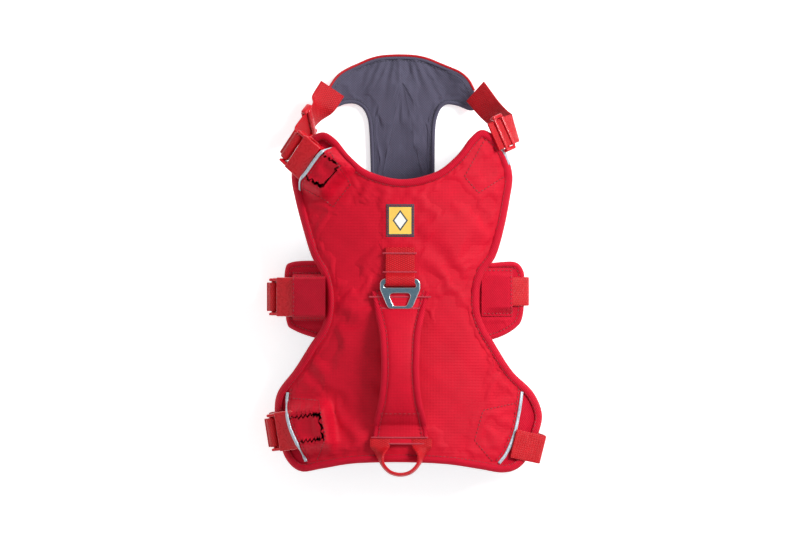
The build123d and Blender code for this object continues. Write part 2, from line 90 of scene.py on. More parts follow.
WINGS = {
    "left": [(-62.0, 0.0), (-80.0, 1.8), (-99.5, 0.5), (-105.5, -6.0), (-106.0, -30.0), (-104.0, -52.0),
             (-98.0, -58.5), (-80.0, -64.8), (-62.0, -66.0)],
    "right": [(101.0, -5.0), (93.5, 0.8), (75.0, 0.0), (56.0, -2.0), (56.0, -66.0), (76.0, -66.0),
              (94.0, -57.5), (101.5, -46.0), (103.0, -16.0)],
}
TRIMS = {
    "neck_left": [(-64.0, 99.1), (-73.3, 93.8), (-85.8, 77.3), (-91.0, 70.8), (-91.7, 62.2)],
    "neck_right": [(69.7, 109.1), (76.0, 104.5), (84.0, 94.0), (88.4, 84.9)],
    "rear_left": [(-102.2, -112.4), (-103.0, -125.6), (-99.7, -142.1), (-92.3, -158.5), (-86.0, -171.7)],
    "rear_right": [(99.8, -111.9), (97.3, -128.9), (93.3, -147.0), (86.6, -163.5), (79.7, -173.1)],
}


BUCKLES = {  # mouth x, y, z, heading, tilt below level, roll about the strap
    "neck": (-81.0, 84.5, 72.4, 137.8, 25.0, -19.0),
    "girth": (-94.5, -29.7, 52.9, 180.0, 35.0, 0.0),
    "rear": (-93.5, -143.5, 66.4, 189.0, 32.0, 0.0),
}


def buckle_frame(place):
    """Origin at the socket's mouth, x along the strap, z out of the buckle's face."""
    heading, tilt, roll = np.radians(place[3:])
    along = np.array([np.cos(heading) * np.cos(tilt), np.sin(heading) * np.cos(tilt), -np.sin(tilt)])
    up = np.array([np.cos(heading) * np.sin(tilt), np.sin(heading) * np.sin(tilt), np.cos(tilt)])
    up = up * np.cos(roll) - np.cross(up, along) * np.sin(roll)
    return np.array(place[:3]), along, up


# Lines and grids

def resample(path, count):
    """Points spaced evenly along a path, by straight interpolation on its length so far."""
    run = np.r_[0, np.cumsum(np.linalg.norm(np.diff(path, axis=0), axis=1))]
    at = np.linspace(0, run[-1], count)
    return np.stack([np.interp(at, run, path[:, k]) for k in range(path.shape[1])], axis=1)


def blended(p, count=16):
    """Each stretch between p1 and p2 is the cubic through both, with slopes (p2 - p0)/2 and (p3 - p1)/2."""
    t = np.linspace(0, 1, count, endpoint=False)[:, None, None]
    p0, p1, p2, p3 = p[:-3], p[1:-2], p[2:-1], p[3:]
    curve = p1 + (p2 - p0) * t / 2 + (p0 - 2.5 * p1 + 2 * p2 - p3 / 2) * t**2
    curve += (1.5 * p1 - p0 / 2 - 1.5 * p2 + p3 / 2) * t**3
    return curve.transpose(1, 0, 2).reshape(-1, p.shape[1])


def smooth_loop(points, count):
    """An even loop on a smooth closed curve through the points."""
    p = np.asarray(points, float)
    dense = blended(np.vstack([p[-1:], p, p[:2]]))
    return resample(np.vstack([dense, dense[:1]]), count + 1)[:-1]


def smooth_line(points, count):
    """An even line on a smooth open curve through the points."""
    p = np.asarray(points, float)
    dense = blended(np.vstack([2 * p[:1] - p[1:2], p, 2 * p[-1:] - p[-2:-1]]))
    return resample(np.vstack([dense, p[-1:]]), count)


def rounded_line(points, radii, count):
    """A line whose corners are arcs: each starts radius * tan(half the turn) before its corner."""
    p = np.asarray(points, float)
    pieces = [p[:1]]
    for before, corner, after, radius in zip(p[:-2], p[1:-1], p[2:], radii):
        one = (before - corner) / np.linalg.norm(before - corner)
        two = (after - corner) / np.linalg.norm(after - corner)
        half = np.arccos(np.clip(-one @ two, -1, 1)) / 2
        middle = corner + (one + two) / max(np.linalg.norm(one + two), 1e-9) * radius / np.cos(half)
        turn = np.linspace(-half, half, 13)[:, None]
        inward = (corner - middle) / np.linalg.norm(corner - middle)
        along = (two - one) / np.linalg.norm(two - one)
        pieces.append(middle + radius * (np.cos(turn) * inward + np.sin(turn) * along))
    return resample(np.vstack([*pieces, p[-1:]]), count)


def inwards(loop):
    """The unit normal at each point of an anticlockwise loop: its tangent turned left."""
    along = np.roll(loop, -1, axis=0) - np.roll(loop, 1, axis=0)
    along /= np.linalg.norm(along, axis=1, keepdims=True)
    return np.stack([-along[:, 1], along[:, 0]], axis=1)


def distance(points, line):
    """How far each point is from a polyline: the least distance to its straight stretches."""
    a, run = line[:-1], line[1:] - line[:-1]
    rel = points[:, None, :] - a
    share = np.clip((rel * run).sum(-1) / (run * run).sum(-1), 0, 1)
    return np.linalg.norm(rel - share[..., None] * run, axis=-1).min(axis=1)


def valley(points, line, depth, reach):
    """A sewn valley: minus depth on the line, fading as a bell curve of that reach."""
    return -depth * np.exp(-((distance(points, line) / reach) ** 2))


def ripple(x, y, size):
    """Soft unevenness of hand-laid fabric: three crossing sine waves of unlike lengths, at most 1 high."""
    return (np.sin(x / size + 0.7) * np.cos(y / (size * 1.3)) + 0.6 * np.sin((x + y) / (size * 0.62) + 2.1)
            + 0.4 * np.sin((x - 1.7 * y) / (size * 0.45))) / 2


def arch(x, radius=ARCH_R):
    """Height of an arch of that radius about the back panel's axis."""
    return ARCH_Z + np.sqrt(radius**2 - np.asarray(x) ** 2)


def curl(x):
    """Height of the chest panel's underside: flat to the keel's edge, then an arc that curls up."""
    over = np.maximum(np.abs(x) - KEEL_HALF, 0)
    return CURL_R - np.sqrt(CURL_R**2 - over**2)


def quads(rows, cols, closed):
    """Four-cornered faces of a grid, wrapped round its columns where they close."""
    i = np.arange(rows - 1)[:, None]
    j = np.arange(cols if closed else cols - 1)[None, :]
    k = (j + 1) % cols
    return np.stack([i * cols + j, (i + 1) * cols + j, (i + 1) * cols + k, i * cols + k], axis=-1).reshape(-1, 4)


# Pieces

def piece(name, grids, material, body=ROOT, stands_for=(), weld=True, ends=()):
    """One object from grids of (points by rows and columns, closed columns?, u and v in mm or None)."""
    points, faces, maps, start = [], [], [], 0
    for grid, closed, uv in grids:
        rows, cols = grid.shape[:2]
        made = quads(rows, cols, closed).tolist()
        if ends is True:
            made += [list(range(cols))[::-1], list(range((rows - 1) * cols, rows * cols))]
        faces += [[corner + start for corner in face] for face in made]
        points.append(grid.reshape(-1, 3))
        maps.append(np.zeros((rows * cols, 2)) if uv is None else uv.reshape(-1, 2))
        start += rows * cols
    mesh = bpy.data.meshes.new(name)
    mesh.from_pydata((np.vstack(points) * MM).tolist(), [], faces)
    corners = np.empty(len(mesh.loops), int)
    mesh.loops.foreach_get("vertex_index", corners)
    mesh.uv_layers.new(name="Cloth_mm").data.foreach_set("uv", np.vstack(maps)[corners].ravel())
    edit = bmesh.new()
    edit.from_mesh(mesh)
    if weld:
        bmesh.ops.remove_doubles(edit, verts=edit.verts, dist=1e-6)
        bmesh.ops.recalc_face_normals(edit, faces=edit.faces)
    for edge in edit.edges:
        edge.smooth = len(edge.link_faces) != 2 or edge.calc_face_angle(0) < 0.9
    edit.to_mesh(mesh)
    edit.free()
    mesh.polygons.foreach_set("use_smooth", [True] * len(mesh.polygons))
    mesh.materials.append(material)
    made = bpy.data.objects.new(name, mesh)
    bpy.context.collection.objects.link(made)
    if stands_for:
        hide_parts(*stands_for)
    if body:
        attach(made, body)
    return made


def star(loop, centre, top, bottom, rings, edge=1.6):
    """A closed pad: rings P = centre + share * (loop - centre), out over the top and back under the bottom."""
    loop, centre = np.asarray(loop, float), np.asarray(centre, float)
    share = np.sin(np.linspace(0, np.pi / 2, rings)) ** 0.9
    flat = centre + share[:, None, None] * (loop - centre)
    over = top(flat.reshape(-1, 2)).reshape(flat.shape[:2])
    under = bottom(flat.reshape(-1, 2)).reshape(flat.shape[:2])
    upper = np.dstack([flat, over])
    lower = np.dstack([flat, under])[::-1]
    out = -inwards(loop)
    middle = (upper[-1] + lower[0]) / 2
    middle[:, :2] += out * edge
    return np.concatenate([upper, middle[None], lower])


def carried(path, across, up, profile):
    """A closed profile (a, b) carried along a path: P = path + a * across + b * up at every point."""
    profile = np.asarray(profile, float)
    return path[:, None, :] + profile[None, :, :1] * across[:, None, :] + profile[None, :, 1:] * up[:, None, :]


def tangents(path, closed=False):
    """Unit direction of travel at each point of a path."""
    if closed:
        along = np.roll(path, -1, axis=0) - np.roll(path, 1, axis=0)
    else:
        along = np.gradient(path, axis=0)
    return along / np.linalg.norm(along, axis=1, keepdims=True)


def strap_profile(width=WEB_W, thick=WEB_T):
    """A webbing's cross-section: flat faces and half-round selvedges, 25 points."""
    turn = np.linspace(-np.pi / 2, np.pi / 2, 7)
    right = np.stack([width / 2 - thick / 2 + np.cos(turn) * thick / 2, np.sin(turn) * thick / 2], axis=1)
    flat = np.linspace(0.8, -0.8, 7)[:, None] * (width / 2 - thick / 2)
    top = np.hstack([flat, np.full_like(flat, thick / 2)])
    return np.vstack([right, top[1:-1], -right, -top[1:-1]])


def webbing(path, across, width=WEB_W, thick=WEB_T, start=0.0):
    """A strap's grid along its middle line, with u along it and v over its width, in millimetres."""
    along = tangents(path)
    across = across - (across * along).sum(1, keepdims=True) * along
    across /= np.linalg.norm(across, axis=1, keepdims=True)
    up = np.cross(along, across)
    profile = strap_profile(width, thick)
    run = start + np.r_[0, np.cumsum(np.linalg.norm(np.diff(path, axis=0), axis=1))]
    uv = np.stack(np.broadcast_arrays(run[:, None], profile[None, :, 0]), axis=-1)
    return carried(path, across, up, profile), True, uv


def stitches(line, up, pitch=3.2, length=2.3, radius=0.42):
    """Thread: one small capsule every pitch along a line, lying on the surface whose normal is up."""
    total = np.linalg.norm(np.diff(line, axis=0), axis=1).sum()
    count = max(int(total / pitch), 1)
    both = resample(np.hstack([line, up]), count)
    middle, normal = both[:, :3], both[:, 3:]
    normal = normal / np.linalg.norm(normal, axis=1, keepdims=True)
    along = tangents(middle) if count > 1 else np.array([[1.0, 0, 0]])
    side = np.cross(normal, along)
    ring = np.linspace(0, 2 * np.pi, 6, endpoint=False)
    at = np.array([-0.5, -0.36, 0.36, 0.5]) * length
    wide = np.array([0.15, 1.0, 1.0, 0.15]) * radius
    sag = np.array([-0.5, 0.25, 0.25, -0.5]) * radius
    grids = []
    for k in range(count):
        a = middle[k] + at[:, None, None] * along[k] + (wide[:, None] * np.cos(ring))[..., None] * side[k]
        a = a + ((wide[:, None] * np.sin(ring)) * 0.7 + sag[:, None])[..., None] * normal[k]
        grids.append((a, True, None))
    return grids


def block(size, centre=(0, 0, 0), radius=1.0, steps=4):
    """A moulded block with rounded edges: the corner centres, plus radius times a direction on a sphere."""
    half = np.maximum(np.asarray(size, float) / 2 - radius, 0)
    turn = np.linspace(0, np.pi / 2, steps)
    around = np.concatenate([turn + quarter * np.pi / 2 for quarter in range(4)])
    rise = np.concatenate([turn - np.pi / 2, turn])
    flat = np.cos(rise)[:, None, None] * np.stack([np.cos(around), np.sin(around)], axis=-1)[None]
    sphere = np.concatenate([flat, np.broadcast_to(np.sin(rise)[:, None, None], (*flat.shape[:2], 1))], axis=-1)
    quarter = np.repeat([[1, 1], [-1, 1], [-1, -1], [1, -1]], steps, axis=0)
    corner = np.broadcast_to(quarter * half[:2], flat.shape)
    lift = np.broadcast_to((np.repeat([-1, 1], steps) * half[2])[:, None, None], (*flat.shape[:2], 1))
    return np.concatenate([corner, lift], axis=-1) + radius * sphere + np.asarray(centre, float)


def bar(radius, length, centre):
    """A round bar along Y with rounded ends, as a profile of rings."""
    ring = np.linspace(0, 2 * np.pi, 20, endpoint=False)
    y = np.array([-0.5, -0.5, -0.5 + 0.4 / length, 0.5 - 0.4 / length, 0.5, 0.5]) * length
    size = radius * np.array([0, 0.8, 1, 1, 0.8, 0])
    grid = np.stack([size[:, None] * np.cos(ring), np.broadcast_to(y[:, None], (6, 20)),
                     size[:, None] * np.sin(ring)], axis=-1)
    return grid + np.asarray(centre, float)


def placed(grid, origin, x_dir, z_dir):
    """A grid drawn at the origin, moved onto a plane: P = origin + x * x_dir + y * (z_dir x x_dir) + z * z_dir."""
    y_dir = np.cross(z_dir, x_dir)
    return np.asarray(origin) + grid @ np.stack([x_dir, y_dir, z_dir])


# Materials

def linear(code):
    """An sRGB hex colour as linear red, green, blue and alpha."""
    part = np.array([int(code[k:k + 2], 16) for k in (1, 3, 5)]) / 255
    return (*np.where(part <= 0.04045, part / 12.92, ((part + 0.055) / 1.055) ** 2.4).tolist(), 1.0)


def add(tree, kind, settings=(), inputs=()):
    """Adds a node: its settings by name, then its inputs in order, or by name or number, as values or links."""
    made = tree.nodes.new("ShaderNode" + kind)
    for name, value in dict(settings).items():
        setattr(made, name, value)
    for key, value in (inputs.items() if isinstance(inputs, dict) else enumerate(inputs)):
        if isinstance(value, bpy.types.NodeSocket):
            tree.links.new(value, made.inputs[key])
        else:
            made.inputs[key].default_value = value
    return made


def finish(name, constants):
    """A new material with its shader's constant values set; returns it, its tree and the shader."""
    made = bpy.data.materials.new(name)
    made.use_nodes = True
    tree = made.node_tree
    shader = tree.nodes["Principled BSDF"]
    for key, value in constants.items():
        shader.inputs[key].default_value = value
    return made, tree, shader


def millimetres(tree, source="Object"):
    """The piece's own coordinates in millimetres, as separate numbers, and the vector itself."""
    if source == "Object":
        place = add(tree, "TexCoord").outputs["Object"]
        place = add(tree, "VectorMath", {"operation": "SCALE"}, {0: place, "Scale": 1000.0}).outputs[0]
    else:
        place = add(tree, "UVMap", {"uv_map": "Cloth_mm"}).outputs[0]
    split = add(tree, "SeparateXYZ", inputs={0: place})
    return place, split.outputs[0], split.outputs[1], split.outputs[2]


def wave(tree, value, pitch, shift=0.0):
    """A sine from 0 to 1 with that pitch in millimetres."""
    turned = add(tree, "Math", {"operation": "MULTIPLY_ADD"}, [value, 2 * np.pi / pitch, shift]).outputs[0]
    return add(tree, "Math", {"operation": "MULTIPLY_ADD"}, [add(tree, "Math", {"operation": "SINE"},
        [turned]).outputs[0], 0.5, 0.5]).outputs[0]


def ripstop_nylon(name="ripstop_nylon_woven"):
    # Nylon ripstop, woven: fine cross ribs and a small square grid of thicker threads, with a low sheen.
    # Such cloth usually has ribs about 0.4 mm apart; they are drawn at 1.3 mm, because finer would not show.
    made, tree, shader = finish(name, {"Roughness": 0.66, "Sheen Weight": 0.05, "Sheen Roughness": 0.35,
                                       "Sheen Tint": linear("#FF5A66"), "Specular IOR Level": 0.22})
    place, x, y, _ = millimetres(tree)
    rib = wave(tree, y, 1.3)
    grid = add(tree, "Math", {"operation": "MAXIMUM"}, [add(tree, "Math", {"operation": "POWER"}, [wave(tree, x,
        2.6), 8.0]).outputs[0], add(tree, "Math", {"operation": "POWER"}, [wave(tree, y, 2.6),
        8.0]).outputs[0]]).outputs[0]
    cloud = add(tree, "TexNoise", inputs={"Vector": place, "Scale": 0.035, "Detail": 5.0, "Roughness": 0.65})
    shade = add(tree, "Math", {"operation": "MULTIPLY_ADD"}, [rib, 0.22, add(tree, "Math",
        {"operation": "MULTIPLY"}, [cloud.outputs[0], 0.75]).outputs[0]]).outputs[0]
    shade = add(tree, "Math", {"operation": "MULTIPLY_ADD"}, [grid, 0.10, shade]).outputs[0]
    tree.links.new(add(tree, "Mix", {"data_type": "RGBA"}, {0: shade, 6: linear("#A8001C"),
        7: linear("#E0042C")}).outputs[2], shader.inputs["Base Color"])
    height = add(tree, "Math", {"operation": "MULTIPLY_ADD"}, [grid, 0.5, add(tree, "Math",
        {"operation": "MULTIPLY"}, [rib, 0.7]).outputs[0]]).outputs[0]
    relief = add(tree, "Bump", inputs={"Height": height, "Distance": 0.16 * MM, "Strength": 0.7})
    tree.links.new(relief.outputs[0], shader.inputs["Normal"])
    return made


def polyester_twill(name="polyester_twill_woven"):
    # Polyester twill, woven: diagonal ribs, matt, a shade deeper than the ripstop. Ribs drawn at 1.7 mm.
    made, tree, shader = finish(name, {"Roughness": 0.75, "Sheen Weight": 0.07, "Sheen Roughness": 0.4,
                                       "Sheen Tint": linear("#FF5A66"), "Specular IOR Level": 0.2})
    place, x, y, _ = millimetres(tree)
    rib = wave(tree, add(tree, "Math", {"operation": "ADD"}, [add(tree, "Math", {"operation": "MULTIPLY"}, [x,
        1.35]).outputs[0], y]).outputs[0], 2.4)
    thread = wave(tree, y, 0.9)
    cloud = add(tree, "TexNoise", inputs={"Vector": place, "Scale": 0.06, "Detail": 5.0, "Roughness": 0.65})
    shade = add(tree, "Math", {"operation": "MULTIPLY_ADD"}, [rib, 0.45, add(tree, "Math",
        {"operation": "MULTIPLY"}, [cloud.outputs[0], 0.55]).outputs[0]]).outputs[0]
    tree.links.new(add(tree, "Mix", {"data_type": "RGBA"}, {0: shade, 6: linear("#A0001C"),
        7: linear("#DC0630")}).outputs[2], shader.inputs["Base Color"])
    relief = add(tree, "Bump", inputs={"Height": add(tree, "Math", {"operation": "MULTIPLY_ADD"}, [thread, 0.3,
        rib]).outputs[0], "Distance": 0.25 * MM, "Strength": 0.9})
    tree.links.new(relief.outputs[0], shader.inputs["Normal"])
    return made


def nylon_webbing(name, dark, light):
    # Nylon webbing, woven on a needle loom: rows of short ribs, offset from one warp column to the next,
    # and a plain selvedge. It follows the strap's own length and width. Ribs 1.8 mm, columns 1.9 mm.
    made, tree, shader = finish(name, {"Roughness": 0.5, "Sheen Weight": 0.04, "Sheen Roughness": 0.35,
                                       "Sheen Tint": linear("#FF5A60"), "Specular IOR Level": 0.28})
    place, u, v, _ = millimetres(tree, "UV")
    column = add(tree, "Math", {"operation": "FLOOR"}, [add(tree, "Math", {"operation": "DIVIDE"}, [v,
        1.9]).outputs[0]]).outputs[0]
    step = add(tree, "Math", {"operation": "MULTIPLY"}, [add(tree, "Math", {"operation": "PINGPONG"}, [column,
        1.0]).outputs[0], np.pi]).outputs[0]
    turned = add(tree, "Math", {"operation": "ADD"}, [add(tree, "Math", {"operation": "MULTIPLY"}, [u,
        2 * np.pi / 1.8]).outputs[0], step]).outputs[0]
    rib = add(tree, "Math", {"operation": "MULTIPLY_ADD"}, [add(tree, "Math", {"operation": "SINE"},
        [turned]).outputs[0], 0.5, 0.5]).outputs[0]
    groove = add(tree, "Math", {"operation": "POWER"}, [add(tree, "Math", {"operation": "ABSOLUTE"}, [add(tree,
        "Math", {"operation": "SINE"}, [add(tree, "Math", {"operation": "MULTIPLY"}, [v,
        np.pi / 1.9]).outputs[0]]).outputs[0]]).outputs[0], 0.4]).outputs[0]
    height = add(tree, "Math", {"operation": "MULTIPLY"}, [rib, groove]).outputs[0]
    cloud = add(tree, "TexNoise", inputs={"Vector": place, "Scale": 0.09, "Detail": 4.0})
    shade = add(tree, "Math", {"operation": "MULTIPLY_ADD"}, [height, 0.5, add(tree, "Math",
        {"operation": "MULTIPLY"}, [cloud.outputs[0], 0.5]).outputs[0]]).outputs[0]
    tree.links.new(add(tree, "Mix", {"data_type": "RGBA"}, {0: shade, 6: linear(dark),
        7: linear(light)}).outputs[2], shader.inputs["Base Color"])
    relief = add(tree, "Bump", inputs={"Height": height, "Distance": 0.35 * MM, "Strength": 0.9})
    tree.links.new(relief.outputs[0], shader.inputs["Normal"])
    return made


def knitted_lining(name="air_mesh_lining_knitted"):
    # Polyester lining, warp knitted: small staggered holes 2.2 mm apart, dull, grey with a purple cast.
    made, tree, shader = finish(name, {"Roughness": 0.9, "Sheen Weight": 0.12, "Sheen Roughness": 0.5,
                                       "Sheen Tint": linear("#B9B6D6"), "Specular IOR Level": 0.2})
    place, x, y, _ = millimetres(tree)
    hole = add(tree, "Math", {"operation": "MULTIPLY"}, [wave(tree, add(tree, "Math", {"operation": "ADD"}, [x,
        y]).outputs[0], 2.2), wave(tree, add(tree, "Math", {"operation": "SUBTRACT"}, [x, y]).outputs[0],
        2.2)]).outputs[0]
    cloud = add(tree, "TexNoise", inputs={"Vector": place, "Scale": 0.03, "Detail": 4.0})
    shade = add(tree, "Math", {"operation": "MULTIPLY_ADD"}, [hole, 0.35, add(tree, "Math",
        {"operation": "MULTIPLY"}, [cloud.outputs[0], 0.6]).outputs[0]]).outputs[0]
    tree.links.new(add(tree, "Mix", {"data_type": "RGBA"}, {0: shade, 6: linear("#423E4E"),
        7: linear("#6C6A80")}).outputs[2], shader.inputs["Base Color"])
    relief = add(tree, "Bump", inputs={"Height": hole, "Distance": 0.3 * MM, "Strength": 0.8})
    tree.links.new(relief.outputs[0], shader.inputs["Normal"])
    return made


def reflective_tape(name="reflective_tape_coated"):
    # Reflective tape, glass beads in a grey coating: pale, smooth, with a faint honeycomb of 1.4 mm.
    made, tree, shader = finish(name, {"Roughness": 0.35, "Metallic": 0.25, "Coat Weight": 0.3})
    place = millimetres(tree)[0]
    cell = add(tree, "TexVoronoi", inputs={"Vector": place, "Scale": 0.7})
    shade = add(tree, "Math", {"operation": "MULTIPLY"}, [cell.outputs["Distance"], 0.9]).outputs[0]
    tree.links.new(add(tree, "Mix", {"data_type": "RGBA"}, {0: shade, 6: linear("#C9D3DC"),
        7: linear("#93A1AF")}).outputs[2], shader.inputs["Base Color"])
    relief = add(tree, "Bump", inputs={"Height": cell.outputs["Distance"], "Distance": 0.08 * MM, "Strength": 0.5})
    tree.links.new(relief.outputs[0], shader.inputs["Normal"])
    return made


def moulded_acetal(name="acetal_moulded"):
    # Acetal, injection moulded in red: glossy, slightly translucent, with faint flow marks.
    made, tree, shader = finish(name, {"IOR": 1.48, "Coat Weight": 0.25, "Coat Roughness": 0.1,
                                       "Subsurface Weight": 0.08, "Subsurface Scale": 0.002})
    place = millimetres(tree)[0]
    flow = add(tree, "TexNoise", inputs={"Vector": place, "Scale": 0.18, "Detail": 3.0, "Distortion": 1.2})
    grain = add(tree, "TexNoise", inputs={"Vector": place, "Scale": 2.5, "Detail": 2.0})
    tree.links.new(add(tree, "Mix", {"data_type": "RGBA"}, {0: flow.outputs[0], 6: linear("#B40010"),
        7: linear("#DE0420")}).outputs[2], shader.inputs["Base Color"])
    rough = add(tree, "Math", {"operation": "MULTIPLY_ADD"}, [flow.outputs[0], 0.16, 0.20]).outputs[0]
    tree.links.new(rough, shader.inputs["Roughness"])
    relief = add(tree, "Bump", inputs={"Height": grain.outputs[0], "Distance": 0.03 * MM, "Strength": 0.5})
    tree.links.new(relief.outputs[0], shader.inputs["Normal"])
    return made


def anodised_aluminium(name="aluminium_anodised"):
    # Aluminium, stamped, tumbled and anodised slate blue: satin, with its bevels coloured near-white (attribute Edge:
    # every face that is not level).
    made, tree, shader = finish(name, {"Metallic": 1.0})
    place = millimetres(tree)[0]
    edge = add(tree, "Attribute", {"attribute_name": "Edge"}).outputs["Fac"]
    wear = add(tree, "TexNoise", inputs={"Vector": place, "Scale": 0.5, "Detail": 4.0})
    face = add(tree, "Mix", {"data_type": "RGBA"}, {0: wear.outputs[0], 6: linear("#4A6472"),
        7: linear("#6F8896")}).outputs[2]
    mixed = add(tree, "Mix", {"data_type": "RGBA"}, {0: edge, 6: face, 7: linear("#DDE4E8")})
    tree.links.new(mixed.outputs[2], shader.inputs["Base Color"])
    rough = add(tree, "Math", {"operation": "MULTIPLY_ADD"}, [wear.outputs[0], 0.15, 0.28]).outputs[0]
    tree.links.new(rough, shader.inputs["Roughness"])
    return made


def sewing_thread(name, dark, light):
    # Bonded polyester thread, twisted: a slight gloss, with a twist of 0.9 mm.
    made, tree, shader = finish(name, {"Roughness": 0.5, "Sheen Weight": 0.1})
    _, x, y, z = millimetres(tree)
    twist = wave(tree, add(tree, "Math", {"operation": "ADD"}, [add(tree, "Math", {"operation": "ADD"}, [x,
        y]).outputs[0], z]).outputs[0], 0.9)
    tree.links.new(add(tree, "Mix", {"data_type": "RGBA"}, {0: twist, 6: linear(dark),
        7: linear(light)}).outputs[2], shader.inputs["Base Color"])
    relief = add(tree, "Bump", inputs={"Height": twist, "Distance": 0.08 * MM, "Strength": 0.6})
    tree.links.new(relief.outputs[0], shader.inputs["Normal"])
    return made


def woven_badge(name="badge_woven"):
    # Damask badge, woven: a navy border 2.2 mm wide, a yellow field and a plain white diamond.
    made, tree, shader = finish(name, {"Roughness": 0.75, "Sheen Weight": 0.15})
    _, u, v, _ = millimetres(tree, "UV")
    side = add(tree, "Math", {"operation": "ABSOLUTE"}, [u]).outputs[0]
    end = add(tree, "Math", {"operation": "ABSOLUTE"}, [v]).outputs[0]
    border = add(tree, "Math", {"operation": "MAXIMUM"}, [add(tree, "Math", {"operation": "GREATER_THAN"}, [side,
        9.6]).outputs[0], add(tree, "Math", {"operation": "GREATER_THAN"}, [end, 11.6]).outputs[0]]).outputs[0]
    reach = add(tree, "Math", {"operation": "ADD"}, [add(tree, "Math", {"operation": "DIVIDE"}, [side,
        5.2]).outputs[0], add(tree, "Math", {"operation": "DIVIDE"}, [end, 7.2]).outputs[0]]).outputs[0]
    diamond = add(tree, "Math", {"operation": "LESS_THAN"}, [reach, 1.0]).outputs[0]
    outline = add(tree, "Math", {"operation": "LESS_THAN"}, [add(tree, "Math", {"operation": "ABSOLUTE"},
        [add(tree, "Math", {"operation": "SUBTRACT"}, [reach, 1.12]).outputs[0]]).outputs[0], 0.14]).outputs[0]
    thread = wave(tree, v, 0.9)
    field = add(tree, "Mix", {"data_type": "RGBA"}, {0: thread, 6: linear("#E9B53E"),
        7: linear("#FBD869")}).outputs[2]
    white = add(tree, "Mix", {"data_type": "RGBA"}, {0: diamond, 6: field, 7: linear("#F2F1EA")})
    dark = add(tree, "Math", {"operation": "MAXIMUM"}, [border, outline]).outputs[0]
    whole = add(tree, "Mix", {"data_type": "RGBA"}, {0: dark, 6: white.outputs[2], 7: linear("#2C3E4A")})
    tree.links.new(whole.outputs[2], shader.inputs["Base Color"])
    relief = add(tree, "Bump", inputs={"Height": add(tree, "Math", {"operation": "MULTIPLY_ADD"}, [border, 1.5,
        thread]).outputs[0], "Distance": 0.15 * MM, "Strength": 0.7})
    tree.links.new(relief.outputs[0], shader.inputs["Normal"])
    return made


RIPSTOP = ripstop_nylon()
TWILL = polyester_twill()
WEBBING = nylon_webbing("nylon_webbing_woven", "#A00410", "#E01022")
LINING = knitted_lining()
REFLECTIVE = reflective_tape()
ACETAL = moulded_acetal()
ALUMINIUM = anodised_aluminium()
THREAD = sewing_thread("polyester_thread_twisted", "#7C0614", "#B3132A")
BARTACK_THREAD = sewing_thread("polyester_thread_bartack", "#8E0A1C", "#D23A50")
GREY_THREAD = sewing_thread("polyester_thread_grey", "#3C3A48", "#5C5A6C")
BADGE = woven_badge()


# Back panel

PANEL_LOOP = smooth_loop(BACK_PANEL, 560)
PANEL_SIDE = inwards(PANEL_LOOP)
PANEL_HEART = (-3.0, -30.0)
SEAM_LOOP = PANEL_LOOP + PANEL_SIDE * BINDING_W
TRIM_LINES = {name: smooth_line(points, 48) for name, points in TRIMS.items()}
POCKET_CORNERS = (
    [(-64.4, 93.9), (-47.8, 67.3), (-62.8, 48.0), (-69.0, 53.4), (-87.5, 63.4)],
    [(-97.0, -117.5), (-75.0, -118.5), (-68.5, -149.5), (-76.0, -169.0)],
    [(94.0, -121.5), (66.0, -127.0), (58.5, -153.0), (73.5, -170.5)],
    [(66.0, 103.5), (50.0, 74.0), (62.0, 60.0), (85.5, 75.0)])
POCKETS = [resample(np.array(corners, float), 44) for corners in POCKET_CORNERS]
PANEL_VALLEYS = [(np.vstack([SEAM_LOOP[::4], SEAM_LOOP[:1]]), 1.5, 5.5)]
PANEL_VALLEYS += [(line, 0.7, 3.4) for line in TRIM_LINES.values()]
PANEL_VALLEYS += [(line, 0.55, 3.0) for line in POCKETS]
HANDLE_ROOTS = [((-30.5, -30.0), (20.0, -30.0)), ((-29.0, -152.0), (18.5, -152.0)), ((-18.0, -6.0), (7.5, -6.0))]
PANEL_VALLEYS += [(np.array(ends), 0.9, 7.0) for ends in HANDLE_ROOTS]


def panel_top(points, lift=0.0):
    """Height of the padded panel: its arch, soft ripples, and a valley along every seam."""
    x, y = points[:, 0], points[:, 1]
    seams = sum(valley(points, line, depth, reach) for line, depth, reach in PANEL_VALLEYS)
    return arch(x) + 0.7 * ripple(x, y, 17.0) + 0.25 * ripple(y, x, 6.0) + seams + lift


def pocket_over(points, place, ground, first, last, side=13.0, cover=5.0, fade=13.0):
    """How far a sewn pocket rises over a buckle: up to the plane above its plug, inside the plug's
    outline from first to last along the strap, and fading away as a smooth step outside it."""
    origin, along, up = buckle_frame(place)
    across = np.cross(up, along)
    flat = points - origin[:2]
    plane = origin[2] + cover - (flat @ up[:2]) / up[2]
    run = flat @ along[:2] / np.linalg.norm(along[:2])
    wide = flat @ across[:2] / np.linalg.norm(across[:2])
    out = np.hypot(np.maximum(np.maximum(first - run, run - last), 0), np.maximum(np.abs(wide) - side, 0))
    share = np.clip(1 - out / fade, 0, 1)
    return np.maximum(plane - ground, 0) * share**2 * (3 - 2 * share)


def shell_top(points, lift=0.0):
    """Height of the outer shell: the panel, raised over the neck and rear buckles' plugs in their pockets."""
    ground = panel_top(points, lift)
    rise = [pocket_over(points, BUCKLES[name], ground, first, 27.0, cover=6.6)
            for name, first in (("neck", -20.0), ("rear", -22.0))]
    return ground + np.maximum(*rise)


def panel_normal(points):
    """Outward direction of the arch."""
    up = np.stack([points[:, 0], np.zeros(len(points)), arch(points[:, 0]) - ARCH_Z], axis=1)
    return up / np.linalg.norm(up, axis=1, keepdims=True)


def on_panel(points, lift=0.3):
    """Flat points laid on the panel, and the panel's normals there."""
    up = panel_normal(points)
    return np.column_stack([points, shell_top(points)]) + up * lift, up


